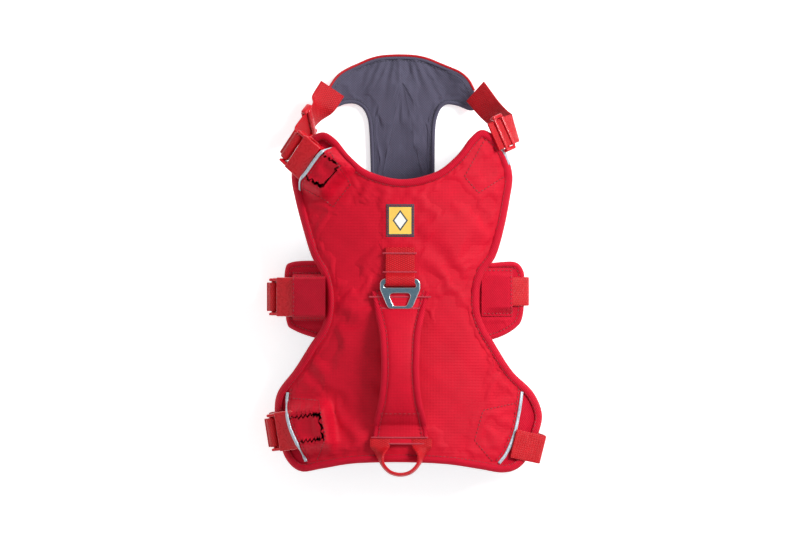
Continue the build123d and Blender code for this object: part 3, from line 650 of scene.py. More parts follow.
def puff(made, held, pressure=4.0, cap=2.5, frames=10, shrink=-0.02):
    """Cloth simulation of one piece: its held points stay, air pressure swells the rest, and a point
    moves at most cap millimetres. The fabric is cut a little large, by -shrink, which makes small puckers."""
    rest = np.empty(len(made.data.vertices) * 3)
    made.data.vertices.foreach_get("co", rest)
    rest = rest.reshape(-1, 3)
    pins = made.vertex_groups.new(name="sewn")
    weight = held(rest / MM)
    for level in np.unique(np.round(weight, 1)):
        chosen = np.flatnonzero(np.round(weight, 1) == level).tolist()
        if level > 0:
            pins.add(chosen, float(level), "REPLACE")
    cloth = made.modifiers.new("cloth", "CLOTH")
    cloth.settings.quality = 5
    cloth.settings.mass = 0.2
    cloth.settings.tension_stiffness = cloth.settings.compression_stiffness = 25.0
    cloth.settings.bending_stiffness = 0.6
    cloth.settings.use_pressure = True
    cloth.settings.uniform_pressure_force = pressure
    cloth.settings.shrink_min = shrink
    cloth.settings.effector_weights.gravity = 0.0
    cloth.settings.vertex_group_mass = "sewn"
    cloth.point_cache.frame_start, cloth.point_cache.frame_end = 1, frames
    scene = bpy.context.scene
    for frame_number in range(1, frames + 1):
        scene.frame_set(frame_number)
    shape = made.evaluated_get(bpy.context.evaluated_depsgraph_get()).to_mesh()
    moved = np.empty(len(rest) * 3)
    shape.vertices.foreach_get("co", moved)
    made.evaluated_get(bpy.context.evaluated_depsgraph_get()).to_mesh_clear()
    step = np.nan_to_num(moved.reshape(-1, 3) - rest)
    far = np.linalg.norm(step, axis=1, keepdims=True)
    step *= np.minimum(1, cap * MM / np.maximum(far, 1e-9))
    made.modifiers.remove(cloth)
    made.vertex_groups.remove(pins)
    scene.frame_set(1)
    made.data.vertices.foreach_set("co", (rest + step).ravel())
    made.data.update()


def make_panel_base():
    """The padding under the shell and the grey lining: rings between the edge roll and the panel's heart."""
    under = star(PANEL_LOOP + PANEL_SIDE * 2.2, PANEL_HEART, lambda p: panel_top(p, -1.3),
                 lambda p: arch(p[:, 0], ARCH_R - 7.0), 46, edge=0.0)
    base = piece("back_panel_padding", [(under, True, None)], TWILL,
                 stands_for=("back_panel_base_facing", "back_panel_foam"))
    inside = star(PANEL_LOOP + PANEL_SIDE * 2.4, PANEL_HEART, lambda p: arch(p[:, 0], ARCH_R - 7.1),
                  lambda p: arch(p[:, 0], ARCH_R - PANEL_T) - 0.3 * ripple(p[:, 0], p[:, 1], 12.0), 40, edge=0.0)
    lining = piece("back_panel_lining_knit", [(inside, True, None)], LINING,
                   stands_for=("back_panel_lining",))


def clipped_by_trims(loop):
    """The loop pulled in to each trim line: along a ray from the heart, to where it crosses the trim."""
    heart = np.array(PANEL_HEART)
    ray = loop - heart
    reach = np.ones(len(loop))
    for line in TRIM_LINES.values():
        ends = np.vstack([2 * line[:1] - line[3:4], line, 2 * line[-1:] - line[-4:-3]])
        a, run = ends[:-1] - heart, ends[1:] - ends[:-1]
        cross = ray[:, None, 0] * run[:, 1] - ray[:, None, 1] * run[:, 0]
        cross = np.where(np.abs(cross) < 1e-9, 1e-9, cross)
        along = (a[:, 0] * run[:, 1] - a[:, 1] * run[:, 0]) / cross
        side = (a[:, 0] * ray[:, None, 1] - a[:, 1] * ray[:, None, 0]) / cross
        hit = np.where((side >= 0) & (side <= 1) & (along > 0), along, 9.0).min(axis=1)
        reach = np.minimum(reach, hit)
    return heart + ray * reach[:, None]


HELD_DOWN = [(-19.0, 9.0, 20.0, 52.0), (-36.0, 25.0, -36.0, -24.0), (-36.0, 25.0, -160.0, -142.0),
             (-20.0, 10.0, -36.0, 14.0)]  # x and y limits under the label, the handle's ends and the ring webbing


def make_panel_shell():
    """The shell: rings out to the trims, then swollen by the cloth simulation between its seams."""
    loop = clipped_by_trims(PANEL_LOOP + PANEL_SIDE * (BINDING_W - 1.2))[::2]
    skin = star(loop, PANEL_HEART, lambda p: shell_top(p, 0.25), lambda p: shell_top(p, -0.9), 56, edge=0.2)
    shell = piece("back_panel_ripstop_shell", [(skin, True, None)], RIPSTOP,
                  stands_for=("back_panel_shell",))
    edge_line = np.vstack([loop[::4], loop[:1]])
    seams = [edge_line, *POCKETS, *[np.array(ends) for ends in HANDLE_ROOTS]]

    def held(points):
        near = np.min([distance(points[:, :2], line) for line in seams], axis=0)
        below = points[:, 2] < shell_top(points[:, :2]) - 0.4
        sewn_down = np.zeros(len(points), bool)
        for x0, x1, y0, y1 in HELD_DOWN:
            sewn_down |= (points[:, 0] > x0) & (points[:, 0] < x1) & (points[:, 1] > y0) & (points[:, 1] < y1)
        return np.where(below | sewn_down, 1.0, np.clip(1.3 - near / 5.0, 0, 1))

    puff(shell, held, pressure=3.0, cap=1.6, shrink=-0.03)


def rolled_edge(name, loop, width, thick, height, material, stands_for, ripple_size=9.0):
    """Binding folded over an edge: a roll carried round the loop, from its top seam to its bottom seam."""
    side = inwards(loop)
    # (share of the width in from the edge, share of the thickness down): top, round the outside, and back
    across = np.array([1.06, 0.84, 0.60, 0.34, 0.12, 0.0, 0.02, 0.14, 0.4, 0.75, 1.05, 1.05])
    down = np.array([0.16, 0.00, -0.06, -0.02, 0.12, 0.34, 0.62, 0.86, 1.0, 1.03, 1.0, 0.5])
    flat = loop[:, None, :] + across[None, :, None] * width * side[:, None, :]
    wobble = 0.25 * np.sin(np.arange(len(loop)) * ripple_size)[:, None] * np.exp(-((across - 0.7) / 0.3) ** 2)
    z = height(flat.reshape(-1, 2)).reshape(flat.shape[:2]) - down * thick + wobble
    grid = np.dstack([flat, z])
    grid = np.concatenate([grid, grid[:1]])
    made = piece(name, [(grid, True, None)], material, stands_for=stands_for)
    return made


def make_panel_edge():
    """The roll round the panel, and the row of stitches along its inner seam."""
    rolled_edge("back_panel_rolled_edge", PANEL_LOOP, BINDING_W, PANEL_T + 0.2, lambda p: arch(p[:, 0]) + 0.35,
                TWILL, ("back_panel_edge_binding",))
    up = panel_normal(SEAM_LOOP)
    seam = np.column_stack([SEAM_LOOP, panel_top(SEAM_LOOP)]) + up * 0.95
    piece("back_panel_edge_stitching", stitches(seam, up), THREAD)


def make_trims():
    """Reflective piping along each trim line, standing on the shell."""
    for name, line in TRIM_LINES.items():
        place, up = on_panel(line, 0.9)
        along = tangents(place)
        across = np.cross(along, up)
        turn = np.linspace(0, 2 * np.pi, 16, endpoint=False)
        profile = np.stack([1.55 * np.cos(turn), 0.95 * np.sin(turn)], axis=1)
        piece(f"reflective_piping_{name}", [(carried(place, across, up, profile), True, None)], REFLECTIVE,
              stands_for=(f"reflective_trim_{name}",), ends=True)
    inner = []
    for line in [*TRIM_LINES.values()]:
        pull = (np.array(PANEL_HEART) - line) / np.linalg.norm(np.array(PANEL_HEART) - line, axis=1)[:, None]
        inner.append(line + pull * 3.6)
    grids = []
    for line in inner + POCKETS:
        place, up = on_panel(line, 0.65)
        grids += stitches(place, up)
    piece("back_panel_seam_stitching", grids, THREAD)


def make_label():
    """A flat badge following the panel, with its rim sunk and a ring of stitches."""
    u, v = np.meshgrid(np.linspace(-12, 12, 25), np.linspace(-14, 14, 29), indexing="ij")
    flat = np.stack([u - 5.2, v + 36.1], axis=-1)
    edge = np.minimum(12 - np.abs(u), 14 - np.abs(v))
    lift = 1.05 - 0.45 * np.exp(-((edge / 0.9) ** 2)) + 0.25 * np.exp(-(((edge - 1.6) / 0.8) ** 2))
    height = panel_top(flat.reshape(-1, 2)).reshape(u.shape)
    top = np.dstack([flat, height + lift])
    low = np.dstack([flat, height - 0.4])
    uv = np.stack([u, v], axis=-1)
    rim = np.concatenate([top[:, 0], top[-1, 1:], top[-2::-1, -1], top[0, -2:0:-1]])
    foot = rim - np.array([0, 0, 1.4])
    piece("label_badge", [(top, False, uv), (low[::-1], False, uv), (np.stack([foot, rim]), True, None)],
          BADGE, stands_for=("label_patch",), weld=False)
    line = np.array([(-10.9, -12.9), (10.9, -12.9), (10.9, 12.9), (-10.9, 12.9), (-10.9, -12.9)]) + (-5.2, 36.1)
    place, up = on_panel(resample(line, 90), 1.25)
    piece("label_stitching", stitches(place, up, pitch=2.2, length=1.6, radius=0.28), THREAD)


# Wings and chest panel

def make_wing(name):
    """One wing: padding swollen between its seams, lining, rolled edge and stitches."""
    loop = smooth_loop(WINGS[name], 220)
    centre = loop.mean(axis=0)
    seam = np.vstack([loop[::3], loop[:1]])
    box = (np.array([(-98, -9), (-98, -50), (-73, -50), (-73, -9), (-98, -9)]) if name == "left"
           else np.array([(92, -5), (92, -46), (67, -46), (67, -5), (92, -5)])).astype(float)

    def top(points):
        inside = distance(points, seam)
        swell = 1.1 * (1 - np.exp(-((inside / 7.0) ** 2)))
        return (arch(points[:, 0], WING_R) + swell - 0.9 + valley(points, box, 0.9, 2.6)
                + 0.2 * ripple(points[:, 0], points[:, 1], 9.0))

    grid = star(loop + inwards(loop) * 1.4, centre, top, lambda p: arch(p[:, 0], WING_R - 5.9), 30, edge=0.0)
    cover = piece(f"{name}_wing_padding", [(grid, True, None)], TWILL,
                  stands_for=(f"{name}_wing_cover", f"{name}_wing_foam"))
    puff(cover, lambda p: np.clip(1.2 - np.min([distance(p[:, :2], seam), distance(p[:, :2], box)],
          axis=0) / 4, 0, 1),
         pressure=3.0, cap=1.2)
    inner = star(loop + inwards(loop) * 1.6, centre, lambda p: arch(p[:, 0], WING_R - 6.0),
                 lambda p: arch(p[:, 0], WING_R - WING_T), 20, edge=0.0)
    piece(f"{name}_wing_lining_knit", [(inner, True, None)], LINING,
                    stands_for=(f"{name}_wing_lining",))
    rolled_edge(f"{name}_wing_rolled_edge", loop, 4.6, WING_T, lambda p: arch(p[:, 0], WING_R) + 0.2,
                TWILL, ())
    grids = []
    for line in (np.vstack([loop, loop[:1]]) + np.vstack([inwards(loop), inwards(loop)[:1]]) * 4.8, box):
        dense = resample(line, 160)
        keep = dense[np.abs(dense[:, 0]) > 70]
        if len(keep) > 4:
            place = np.column_stack([keep, top(keep) + 0.75])
            up = panel_normal(keep)
            gap = np.linalg.norm(np.diff(place, axis=0), axis=1) < 12
            cuts = np.flatnonzero(~gap) + 1
            for part, normal in zip(np.split(place, cuts), np.split(up, cuts)):
                if len(part) > 3:
                    grids += stitches(part, normal)
    piece(f"{name}_wing_stitching", grids, THREAD)


CHEST_HEART = (-4.0, 160.0)


def chest_top(points):
    """The lining's height: the curled trough, with pleats that fan out from the top of the neck's middle."""
    x, y = points[:, 0], points[:, 1]
    turn = np.arctan2(x + 6.0, 214.0 - y)
    fan = np.exp(-(((y - 165) / 22.0) ** 2))
    pleats = 1.5 * fan * (np.cos(turn * 16.0) ** 3) + 1.0 * np.exp(-(((y - 146) / 26.0) ** 2)) * np.sin(x / 8.5 + 0.9)
    edge = distance(points, CHEST_SEAM)
    swell = 0.9 * (1 - np.exp(-((edge / 8.0) ** 2)))
    return curl(x) + CHEST_T - 1.4 + swell + pleats + 0.25 * ripple(x, y, 13.0)


CHEST_LOOP = smooth_loop(CHEST_PANEL, 420)
CHEST_SEAM = np.vstack([CHEST_LOOP[::4], CHEST_LOOP[:1]])


def make_chest_panel():
    """The chest panel: red cover below, swollen lining above, rolled edge, piping and stitches."""
    loop = CHEST_LOOP + inwards(CHEST_LOOP) * 1.4
    cover = star(loop, CHEST_HEART, lambda p: curl(p[:, 0]) + 3.0, lambda p: curl(p[:, 0]), 60, edge=0.0)
    piece("chest_panel_red_cover", [(cover, True, None)], TWILL,
                    stands_for=("chest_panel_cover",))
    lining = star(loop, CHEST_HEART, chest_top, lambda p: curl(p[:, 0]) + 2.6, 80, edge=0.0)
    made = piece("chest_panel_lining_knit", [(lining, True, None)], LINING,
                 stands_for=("chest_panel_lining", "chest_panel_foam"))
    puff(made, lambda p: np.where(p[:, 2] < curl(p[:, 0]) + 3.5, 1.0,
                                  np.clip(1.3 - distance(p[:, :2], CHEST_SEAM) / 6, 0, 1)),
         pressure=2.0, cap=1.0)
    rolled_edge("chest_panel_rolled_edge", CHEST_LOOP, 3.4, CHEST_T - 0.3, lambda p: curl(p[:, 0]) + CHEST_T - 0.1,
                LINING, ("chest_panel_edge_binding",))
    outer = CHEST_LOOP[(CHEST_LOOP[:, 1] > 146.0) & (inwards(CHEST_LOOP)[:, 1] < -0.25)]
    outer = smooth_line(outer[np.argsort(-np.arctan2(outer[:, 1] - 130.0, outer[:, 0] + 4.0))][::6], 90)
    path = np.column_stack([outer, curl(outer[:, 0]) + 4.4])
    along = tangents(path)
    level = np.cross(along, [0, 0, 1.0])
    turn = np.linspace(0, 2 * np.pi, 12, endpoint=False)
    profile = np.stack([1.3 * np.cos(turn), 2.0 * np.sin(turn)], axis=1)
    piece("chest_panel_red_piping", [(carried(path, level, np.cross(level, along), profile), True, None)],
          WEBBING, ends=True)
    line = CHEST_LOOP + inwards(CHEST_LOOP) * 4.2
    place = np.column_stack([line, chest_top(line) + 0.5])
    up = np.tile([0.0, 0.0, 1.0], (len(line), 1))
    piece("chest_panel_edge_stitching", stitches(place, up, radius=0.3), GREY_THREAD)


# Handle: one padded strip from the front tab over the grip to the rear tab, made as two halves

def half_width(y):
    """Half the handle's width at y, read along the smooth line HANDLE_EDGE."""
    line = smooth_line(HANDLE_EDGE, 80)[::-1]
    return np.interp(y, line[:, 0], line[:, 1])


def bow_height(y, middle=103.2, ends=85.7):
    """Middle line of the grip: an arc of the span's own radius, run out smoothly onto the tabs."""
    rise = middle - ends
    radius = (BOW_HALF**2 + rise**2) / (2 * rise)
    inside = np.clip(np.abs(y - HANDLE_Y), 0, BOW_HALF)
    bow = middle - radius + np.sqrt(radius**2 - inside**2)
    return np.where(np.abs(y - HANDLE_Y) < BOW_HALF, bow, ends)


def laid_down(y):
    """0 on the grip and 1 on the tabs, with a smooth step between."""
    return 1 / (1 + np.exp(-(np.abs(y - HANDLE_Y) - 51.0) / 2.0))


def handle_thickness(y):
    """Padding over the middle line: full on the grip, thin where the tabs are sewn down."""
    return 2.6 - 1.3 * laid_down(y)


def handle_strip(y, inset, over, under, crown):
    """A closed cross-section carried along y: crowned top, rounded sides and a flatter underside."""
    across = np.sin(np.linspace(-np.pi / 2, np.pi / 2, 27))
    back = across[::-1][1:-1]
    wide = half_width(y)[:, None] - inset
    x = np.hstack([wide * across, wide * back])
    side = np.sqrt(np.maximum(1 - np.abs(np.r_[across, back]) ** 6, 0))
    lift = np.r_[over * side[:27] + crown * (1 - across**2), -under * side[27:]]
    z = bow_height(y)[:, None] + lift * handle_thickness(y)[:, None]
    follow = arch(x) - ARCH_TOP
    z = z + follow * laid_down(y)[:, None]
    return np.stack([HANDLE_X + x, np.broadcast_to(y[:, None], x.shape), z], axis=-1)


def make_handle():
    """The handle in two halves, each laid on the panel at its tab and bowed up over the grip."""
    for name, start, stop in (("front", -89.0, -24.6), ("rear", -155.6, -89.0)):
        y = np.linspace(start, stop, 90)
        nodes = {"front": ("handle_grip_lower_pad", "handle_grip_webbing", "handle_grip_upper_pad",
                           "handle_front_tab"), "rear": ("handle_rear_tab",)}[name]
        pad = piece(f"handle_{name}_padding", [(handle_strip(y, 0.6, 0.72, 0.9, 0.1), True, None)], TWILL,
                    body=None, stands_for=nodes, ends=True)
        cover = piece(f"handle_{name}_ripstop_cover", [(handle_strip(y, 5.0, 0.95, -0.2, 0.35), True, None)],
                      RIPSTOP, body=None, ends=True)
        edges = []
        turn = np.linspace(0, 2 * np.pi, 14, endpoint=False)
        for side in (-1, 1):
            path = np.column_stack([HANDLE_X + side * (half_width(y) - 2.9), y,
                                    bow_height(y) + 0.42 * handle_thickness(y)
                                    + (arch(half_width(y)) - ARCH_TOP) * laid_down(y)])
            along = tangents(path)
            across = np.tile([1.0, 0.0, 0.0], (len(y), 1))
            up = np.cross(across, along)
            roll = np.stack([3.0 * np.cos(turn), 2.3 * np.sin(turn)], axis=1)
            shrink = (handle_thickness(y) / 2.6)[:, None, None]
            grid = path[:, None, :] + (carried(path, across, up, roll) - path[:, None, :]) * np.maximum(shrink, 0.6)
            edges.append((grid, True, None))
        rolls = piece(f"handle_{name}_rolled_edges", edges, TWILL, body=None, ends=True)
        lines = []
        for side in (-1, 1):
            x = HANDLE_X + side * (half_width(y) - 5.9)
            z = bow_height(y) + 1.22 * handle_thickness(y)
            z = z + (arch(x) - ARCH_TOP) * laid_down(y)
            place = np.column_stack([x, y, z])
            lines += stitches(place, np.tile([0.0, 0.0, 1.0], (len(y), 1)))
        if name == "rear":
            x = np.linspace(-half_width(-129.0) + 5, half_width(-129.0) - 5, 20)
            z = bow_height(np.full(20, -129.0)) + 1.55 * handle_thickness(-129.0)
            place = np.column_stack([HANDLE_X + x, np.full(20, -129.0), z])
            lines += stitches(place, np.tile([0.0, 0.0, 1.0], (20, 1)))
        thread = piece(f"handle_{name}_stitching", lines, THREAD, body=None)
        for part in (pad, cover, rolls, thread):
            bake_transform(part)


def bartack(y, half, lift=2.0, width=2.8, pitch=1.15):
    """Dense zigzag bar: short stitches side by side across a line."""
    x = np.arange(-half, half, pitch)
    grids = []
    for shift in x:
        a = np.array([HANDLE_X + shift, y - width / 2, 0.0])
        b = np.array([HANDLE_X + shift + pitch * 0.8, y + width / 2, 0.0])
        line = np.stack([a, (a + b) / 2, b])
        line[:, 2] = arch(line[:, 0]) + lift
        up = np.tile([0.0, 0.0, 1.0], (3, 1))
        grids += stitches(line, up, pitch=9.0, length=width * 1.1, radius=0.75)
    return grids


def make_bartacks():
    """Rows of close slanting stitches across the handle's ends and the ring webbing."""
    piece("handle_front_bartack_bars", bartack(-27.9, 25.5, lift=3.5) + bartack(-37.7, 16.5, lift=4.3),
          BARTACK_THREAD, stands_for=("handle_front_bartacks",))
    piece("handle_rear_bartack_bars", bartack(-148.3, 23.5, lift=3.7) + bartack(-153.6, 24.0, lift=3.4),
          BARTACK_THREAD, stands_for=("handle_rear_bartacks",))
    piece("ring_bartack_bars", bartack(9.5, 13.6, lift=4.1) + bartack(-6.6, 13.6, lift=4.1),
          BARTACK_THREAD, stands_for=("ring_webbing_bartacks",))


# Leash ring and loop

RING_Z = ARCH_TOP + 0.15 + WEB_T + 2.9


def make_leash_ring():
    """A flat curve of the ring's outline, window and slot, raised and bevelled, then made a mesh."""
    outline = [(-17.2, -13.6), (17.2, -13.6), (17.2, -23.0), (10.2, -39.7), (-10.2, -39.7), (-17.2, -23.0)]
    window = [(-9.8, -26.2), (9.8, -26.2), (5.6, -37.0), (-5.6, -37.0)]
    slot_hole = [(-13.4, -18.1), (13.4, -18.1), (13.4, -21.2), (-13.4, -21.2)]
    flat = bpy.data.curves.new("leash_ring_outline", "CURVE")
    flat.dimensions, flat.fill_mode = "2D", "BOTH"
    flat.extrude, flat.bevel_depth, flat.bevel_resolution = 0.7 * MM, 0.9 * MM, 4
    flat.offset = -0.9 * MM
    for points, radius in ((outline, 4.6), (window, 2.6), (slot_hole, 1.2)):
        corners = np.array([*points[1:], points[0]], float)
        middle = (corners[0] + corners[-1]) / 2
        line = rounded_line(np.vstack([middle, corners, middle]), [radius] * len(points), 110)[:-1]
        spline = flat.splines.new("POLY")
        spline.points.add(len(line) - 1)
        spline.points.foreach_set("co", np.column_stack([line * MM, np.zeros(len(line)),
        np.ones(len(line))]).ravel())
        spline.use_cyclic_u = True
    carrier = bpy.data.objects.new("ring_carrier", flat)
    mesh = bpy.data.meshes.new_from_object(carrier)
    mesh.name = "leash_ring_plate"
    bpy.data.objects.remove(carrier)
    points = np.empty(len(mesh.vertices) * 3)
    mesh.vertices.foreach_get("co", points)
    points = points.reshape(-1, 3) + np.array([HANDLE_X, 0, RING_Z]) * MM
    mesh.vertices.foreach_set("co", points.ravel())
    edit = bmesh.new()
    edit.from_mesh(mesh)
    bmesh.ops.remove_doubles(edit, verts=edit.verts, dist=2e-6)
    bmesh.ops.recalc_face_normals(edit, faces=edit.faces)
    edit.to_mesh(mesh)
    edit.free()
    slope = np.array([abs(face.normal.z) for face in mesh.polygons])
    edge = mesh.attributes.new("Edge", "FLOAT", "FACE")
    edge.data.foreach_set("value", (slope < 0.97).astype(np.float32))
    mesh.materials.clear()
    mesh.materials.append(ALUMINIUM)
    plate = bpy.data.objects.new("leash_ring_plate", mesh)
    bpy.context.collection.objects.link(plate)
    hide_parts("leash_ring")
    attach(plate, "leash_ring_body")


def flat_strap(points, radii, at_x, count=120):
    """A strap drawn in an upright plane along Y: its middle line, and its width along X."""
    line = rounded_line(points, radii, count)
    path = np.column_stack([np.full(count, at_x), -line[:, 0], line[:, 1]])
    return path, np.tile([1.0, 0.0, 0.0], (count, 1))


def make_ring_webbing():
    """Webbing in section: along the panel, up round the ring's bar and back on itself."""
    low = ARCH_TOP + 0.95
    high = RING_Z + 2.9 + 0.8
    points = [(-13, low + 1.7), (8.5, low + 1.7), (12.5, high), (19.6, high), (19.6, low), (-13, low)]
    path, across = flat_strap(points, [2.5, 2.5, 3.6, 3.6], HANDLE_X, 160)
    piece("ring_webbing_folded", [webbing(path, across)], WEBBING, stands_for=("ring_webbing",),
        ends=True)


REAR_LOOP = [(-22.6, -151.0, 0.0), (-22.6, -157.5, 0.0), (-22.3, -164.5, 0.75), (-20.2, -172.5, 1.0),
             (-13.8, -179.2, 1.0), (-5.0, -181.4, 1.0), (3.8, -179.2, 1.0), (10.2, -172.5, 1.0),
             (12.6, -164.5, 0.75), (13.2, -157.5, 0.0), (13.2, -151.0, 0.0)]  # x, y, share turned onto its edge


def make_rear_loop():
    """The loop lies flat at its sewn ends and turns onto its edge round the back of the curve."""
    line = smooth_line(REAR_LOOP, 120)
    stand = np.clip(line[:, 2], 0, 1)
    path = np.column_stack([line[:, :2], 86.2 + 3.4 * stand])
    along = tangents(path)
    level = np.cross([0, 0, 1.0], along)
    tip = stand * np.radians(80)
    across = level * np.cos(tip)[:, None] + np.array([0, 0, 1.0]) * np.sin(tip)[:, None]
    width = (17.4 - 7.0 * stand)[:, None, None]
    profile = strap_profile()
    run = np.r_[0, np.cumsum(np.linalg.norm(np.diff(path, axis=0), axis=1))]
    grid = (path[:, None, :] + profile[None, :, :1] / WEB_W * width * across[:, None, :]
            + profile[None, :, 1:] * 1.5 * np.cross(along, across)[:, None, :])
    uv = np.stack([np.broadcast_to(run[:, None], grid.shape[:2]), profile[None, :, 0] / WEB_W * width[..., 0]],
        axis=-1)
    piece("rear_leash_loop_webbing", [(grid, True, uv)], WEBBING, body="rear_loop_body",
          stands_for=("rear_leash_loop",), ends=True)


# Buckles and sliders

SOCKET_L = 28.0
BAR_R = 1.7
ROD_X = SOCKET_L - BAR_R - 0.5
PLUG_ROD_X = -10.3
WRAP_R = BAR_R + 0.3
def socket_grids():
    """Two crowned plates joined by side walls, open for the prongs, with a webbing bar at the end."""
    grids = []
    for side in (-1, 1):
        plate = block((19.4, 34, 1.9), (9.7, 0, side * 3.6), 0.85, 5)
        crown = 0.7 * np.clip(1 - (plate[..., 1] / 17) ** 2, 0, 1) * (plate[..., 2] * side > 3.6)
        plate[..., 2] += side * crown
        plate[..., 1] *= 1 - 0.13 * np.exp(-(((plate[..., 0] - 9.0) / 4.5) ** 2))
        grids.append(plate)
        grids.append(block((12.4, 2.6, 8.6), (21.8, side * 14.9, 0), 1.2, 5))
        grids.append(block((6.9, 2.2, 6.6), (3.6, side * 15.8, 0), 0.9, 4))
        grids.append(block((3.0, 2.2, 6.6), (17.6, side * 15.8, 0), 0.9, 4))
    grids.append(block((2.6, 31, 8.2), (18.4, 0, 0), 1.1, 5))
    grids.append(bar(BAR_R, 29.0, (ROD_X, 0, 0)))
    return grids


def plug_grids():
    """The plug as rounded blocks: its body, tongue and two side arms, and the rod its webbing wraps."""
    grids = [block((4.4, 32, 6.8), (-3.2, 0, 0), 1.3, 5), block((14, 5.6, 3.8), (5.5, 0, 0), 1.0, 4)]
    grids += [block((8.6, 2.8, 5.2), (-8.4, side * 14.6, 0), 1.1, 4) for side in (-1, 1)]
    grids.append(bar(BAR_R, 29.0, (PLUG_ROD_X, 0, 0)))
    return grids


def prong_grids(side):
    """One springy prong: a rounded arm, and a barb whose outer face slopes in towards its tip."""
    arm = block((15.2, 3.0, 4.4), (7.9, side * 9.6, 0), 1.0, 4)
    barb = block((5.6, 6.4, 4.4), (10.9, side * 13.2, 0), 1.1, 5)
    barb[..., 1] -= side * np.clip((barb[..., 0] - 10.4) * 0.8, 0, 4) * (side * barb[..., 1] > 12)
    return [arm, barb]


def make_buckle(name):
    """One buckle: its socket, its plug and its two prongs, each on its own body."""
    where = buckle_frame(BUCKLES[name])
    for part, grids, body in (("socket", socket_grids(), f"{name}_socket_body"), ("plug", plug_grids(), ROOT),
                              ("prong_a", prong_grids(1), f"{name}_prong_a_body"),
                              ("prong_b", prong_grids(-1), f"{name}_prong_b_body")):
        moved = [(placed(grid, *where), True, None) for grid in grids]
        piece(f"{name}_buckle_{part}_moulding", moved, ACETAL, body=body,
              stands_for=(f"{name}_buckle_{part}",), ends=True)


def section_path(place, points, radii, count=170):
    """A strap's middle line in a buckle's section: x along the strap, and height along the buckle's z."""
    origin, along, up = buckle_frame(place)
    line = rounded_line(points, radii, count)
    return origin + line[:, :1] * along + line[:, 1:] * up, np.tile(np.cross(up, along), (count, 1))


def level_points(place, points):
    """Points of a level-and-up drawing under the buckle's mouth, turned into the buckle's section."""
    tilt, height = np.radians(place[4]), place[2]
    return [(u * np.cos(tilt) - (v - height) * np.sin(tilt), u * np.sin(tilt) + (v - height) * np.cos(tilt))
            for u, v in points]


def wrapped(after, radii):
    """The middle line of a strap that turns round the socket's bar and runs on."""
    r = WRAP_R + WEB_T / 2
    start = [(ROD_X + 9.0, -r - 0.6), (ROD_X + 1.0, -r), (ROD_X - r, -r), (ROD_X - r, r), (ROD_X + 3.2, r)]
    return start + after, [4.0, r - 0.05, r - 0.05, *radii]


def side_shift(points, amount):
    """The same corners moved to the outer side of the bend by that much."""
    p = np.asarray(points, float)
    run = np.gradient(p, axis=0)
    run /= np.linalg.norm(run, axis=1, keepdims=True)
    return [tuple(q) for q in p + np.stack([-run[:, 1], run[:, 0]], axis=1) * amount]


def make_left_strap(name, levels, radii):
    """Webbing through the socket's bar, in section, running from the socket down to the panel."""
    place = BUCKLES[name]
    after = level_points(place, levels)
    outer = side_shift([(ROD_X + 3.2, WRAP_R), *after], WEB_T / 2)[1:]
    points, bends = wrapped(outer, radii)
    path, across = section_path(place, points, bends)
    strap = piece(f"{name}_strap_left_webbing", [webbing(path, across)], WEBBING, body=None,
                  stands_for=(f"{name}_strap_left",), ends=True)
    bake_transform(strap)


def make_anchor(name):
    """The webbing that wraps the plug's rod and is sewn to the panel."""
    place = BUCKLES[name]
    r = WRAP_R + WEB_T / 2
    near, far = PLUG_ROD_X + r, PLUG_ROD_X - 5
    points = [(far - 9, -3.2 + 1.7), (far, r), (near, r), (near, -r), (far, -r), (far - 9, -3.3 - 0.7)]
    path, across = section_path(place, points, [4, r - 0.05, r - 0.05, 4], 90)
    piece(f"{name}_anchor_webbing", [webbing(path, across)], WEBBING,
          stands_for=(f"{name}_anchor_left",), ends=True)


def slider_grids(length=11.0):
    """Two rounded rails, two low bars and a heavy top bar."""
    grids = [block((length, 3.4, 5.8), (0, side * 14.8, 0.8), 1.6, 6) for side in (-1, 1)]
    grids += [block((2.6, 28, 2.0), (end * (length / 2 - 1.3), 0, -1.3), 0.9, 4) for end in (-1, 1)]
    grids.append(block((4.8, 31, 3.0), (0, 0, 3.3), 1.45, 6))
    return grids


def make_slider(name, origin, along, out):
    """A slider moulding placed by its middle, its strap's direction and its outward side."""
    along, out = along / np.linalg.norm(along), out / np.linalg.norm(out)
    moved = [(placed(grid, origin, along, out), True, None) for grid in slider_grids()]
    piece(f"{name}_slider_moulding", moved, ACETAL, body=f"{name}_slider_body",
          stands_for=(f"{name}_slider",), ends=True)


def make_section_slider(name, levels, share):
    """A slider on the straight run between the socket's bar and the strap's first corner."""
    origin, along, up = buckle_frame(BUCKLES[name])
    first = np.array([ROD_X + 3.2, WRAP_R])
    last = np.array(level_points(BUCKLES[name], levels)[0])
    middle, run = first + (last - first) * share, (last - first) / np.linalg.norm(last - first)
    make_slider(name, origin + middle[0] * along + middle[1] * up, run[0] * along + run[1] * up,
                -run[1] * along + run[0] * up)


GIRTH_LEVELS = [(11.5, 6.0), (-14.5, 2.5), (-49.0, 2.5)]
REAR_LEVELS = [(18.0, 7.0), (-5.0, 2.5), (-92.0, 2.5)]


def upright_strap(x, y, heading, points, radii, count=150):
    """A strap in an upright plane through (x, y): its middle line and its level width."""
    turn = np.radians(heading)
    along, across = np.array([np.cos(turn), np.sin(turn), 0]), np.array([-np.sin(turn), np.cos(turn), 0])
    line = rounded_line(points, radii, count)
    return np.array([x, y, 0]) + line[:, :1] * along + line[:, 1:] * [0, 0, 1.0], np.tile(across, (count, 1))


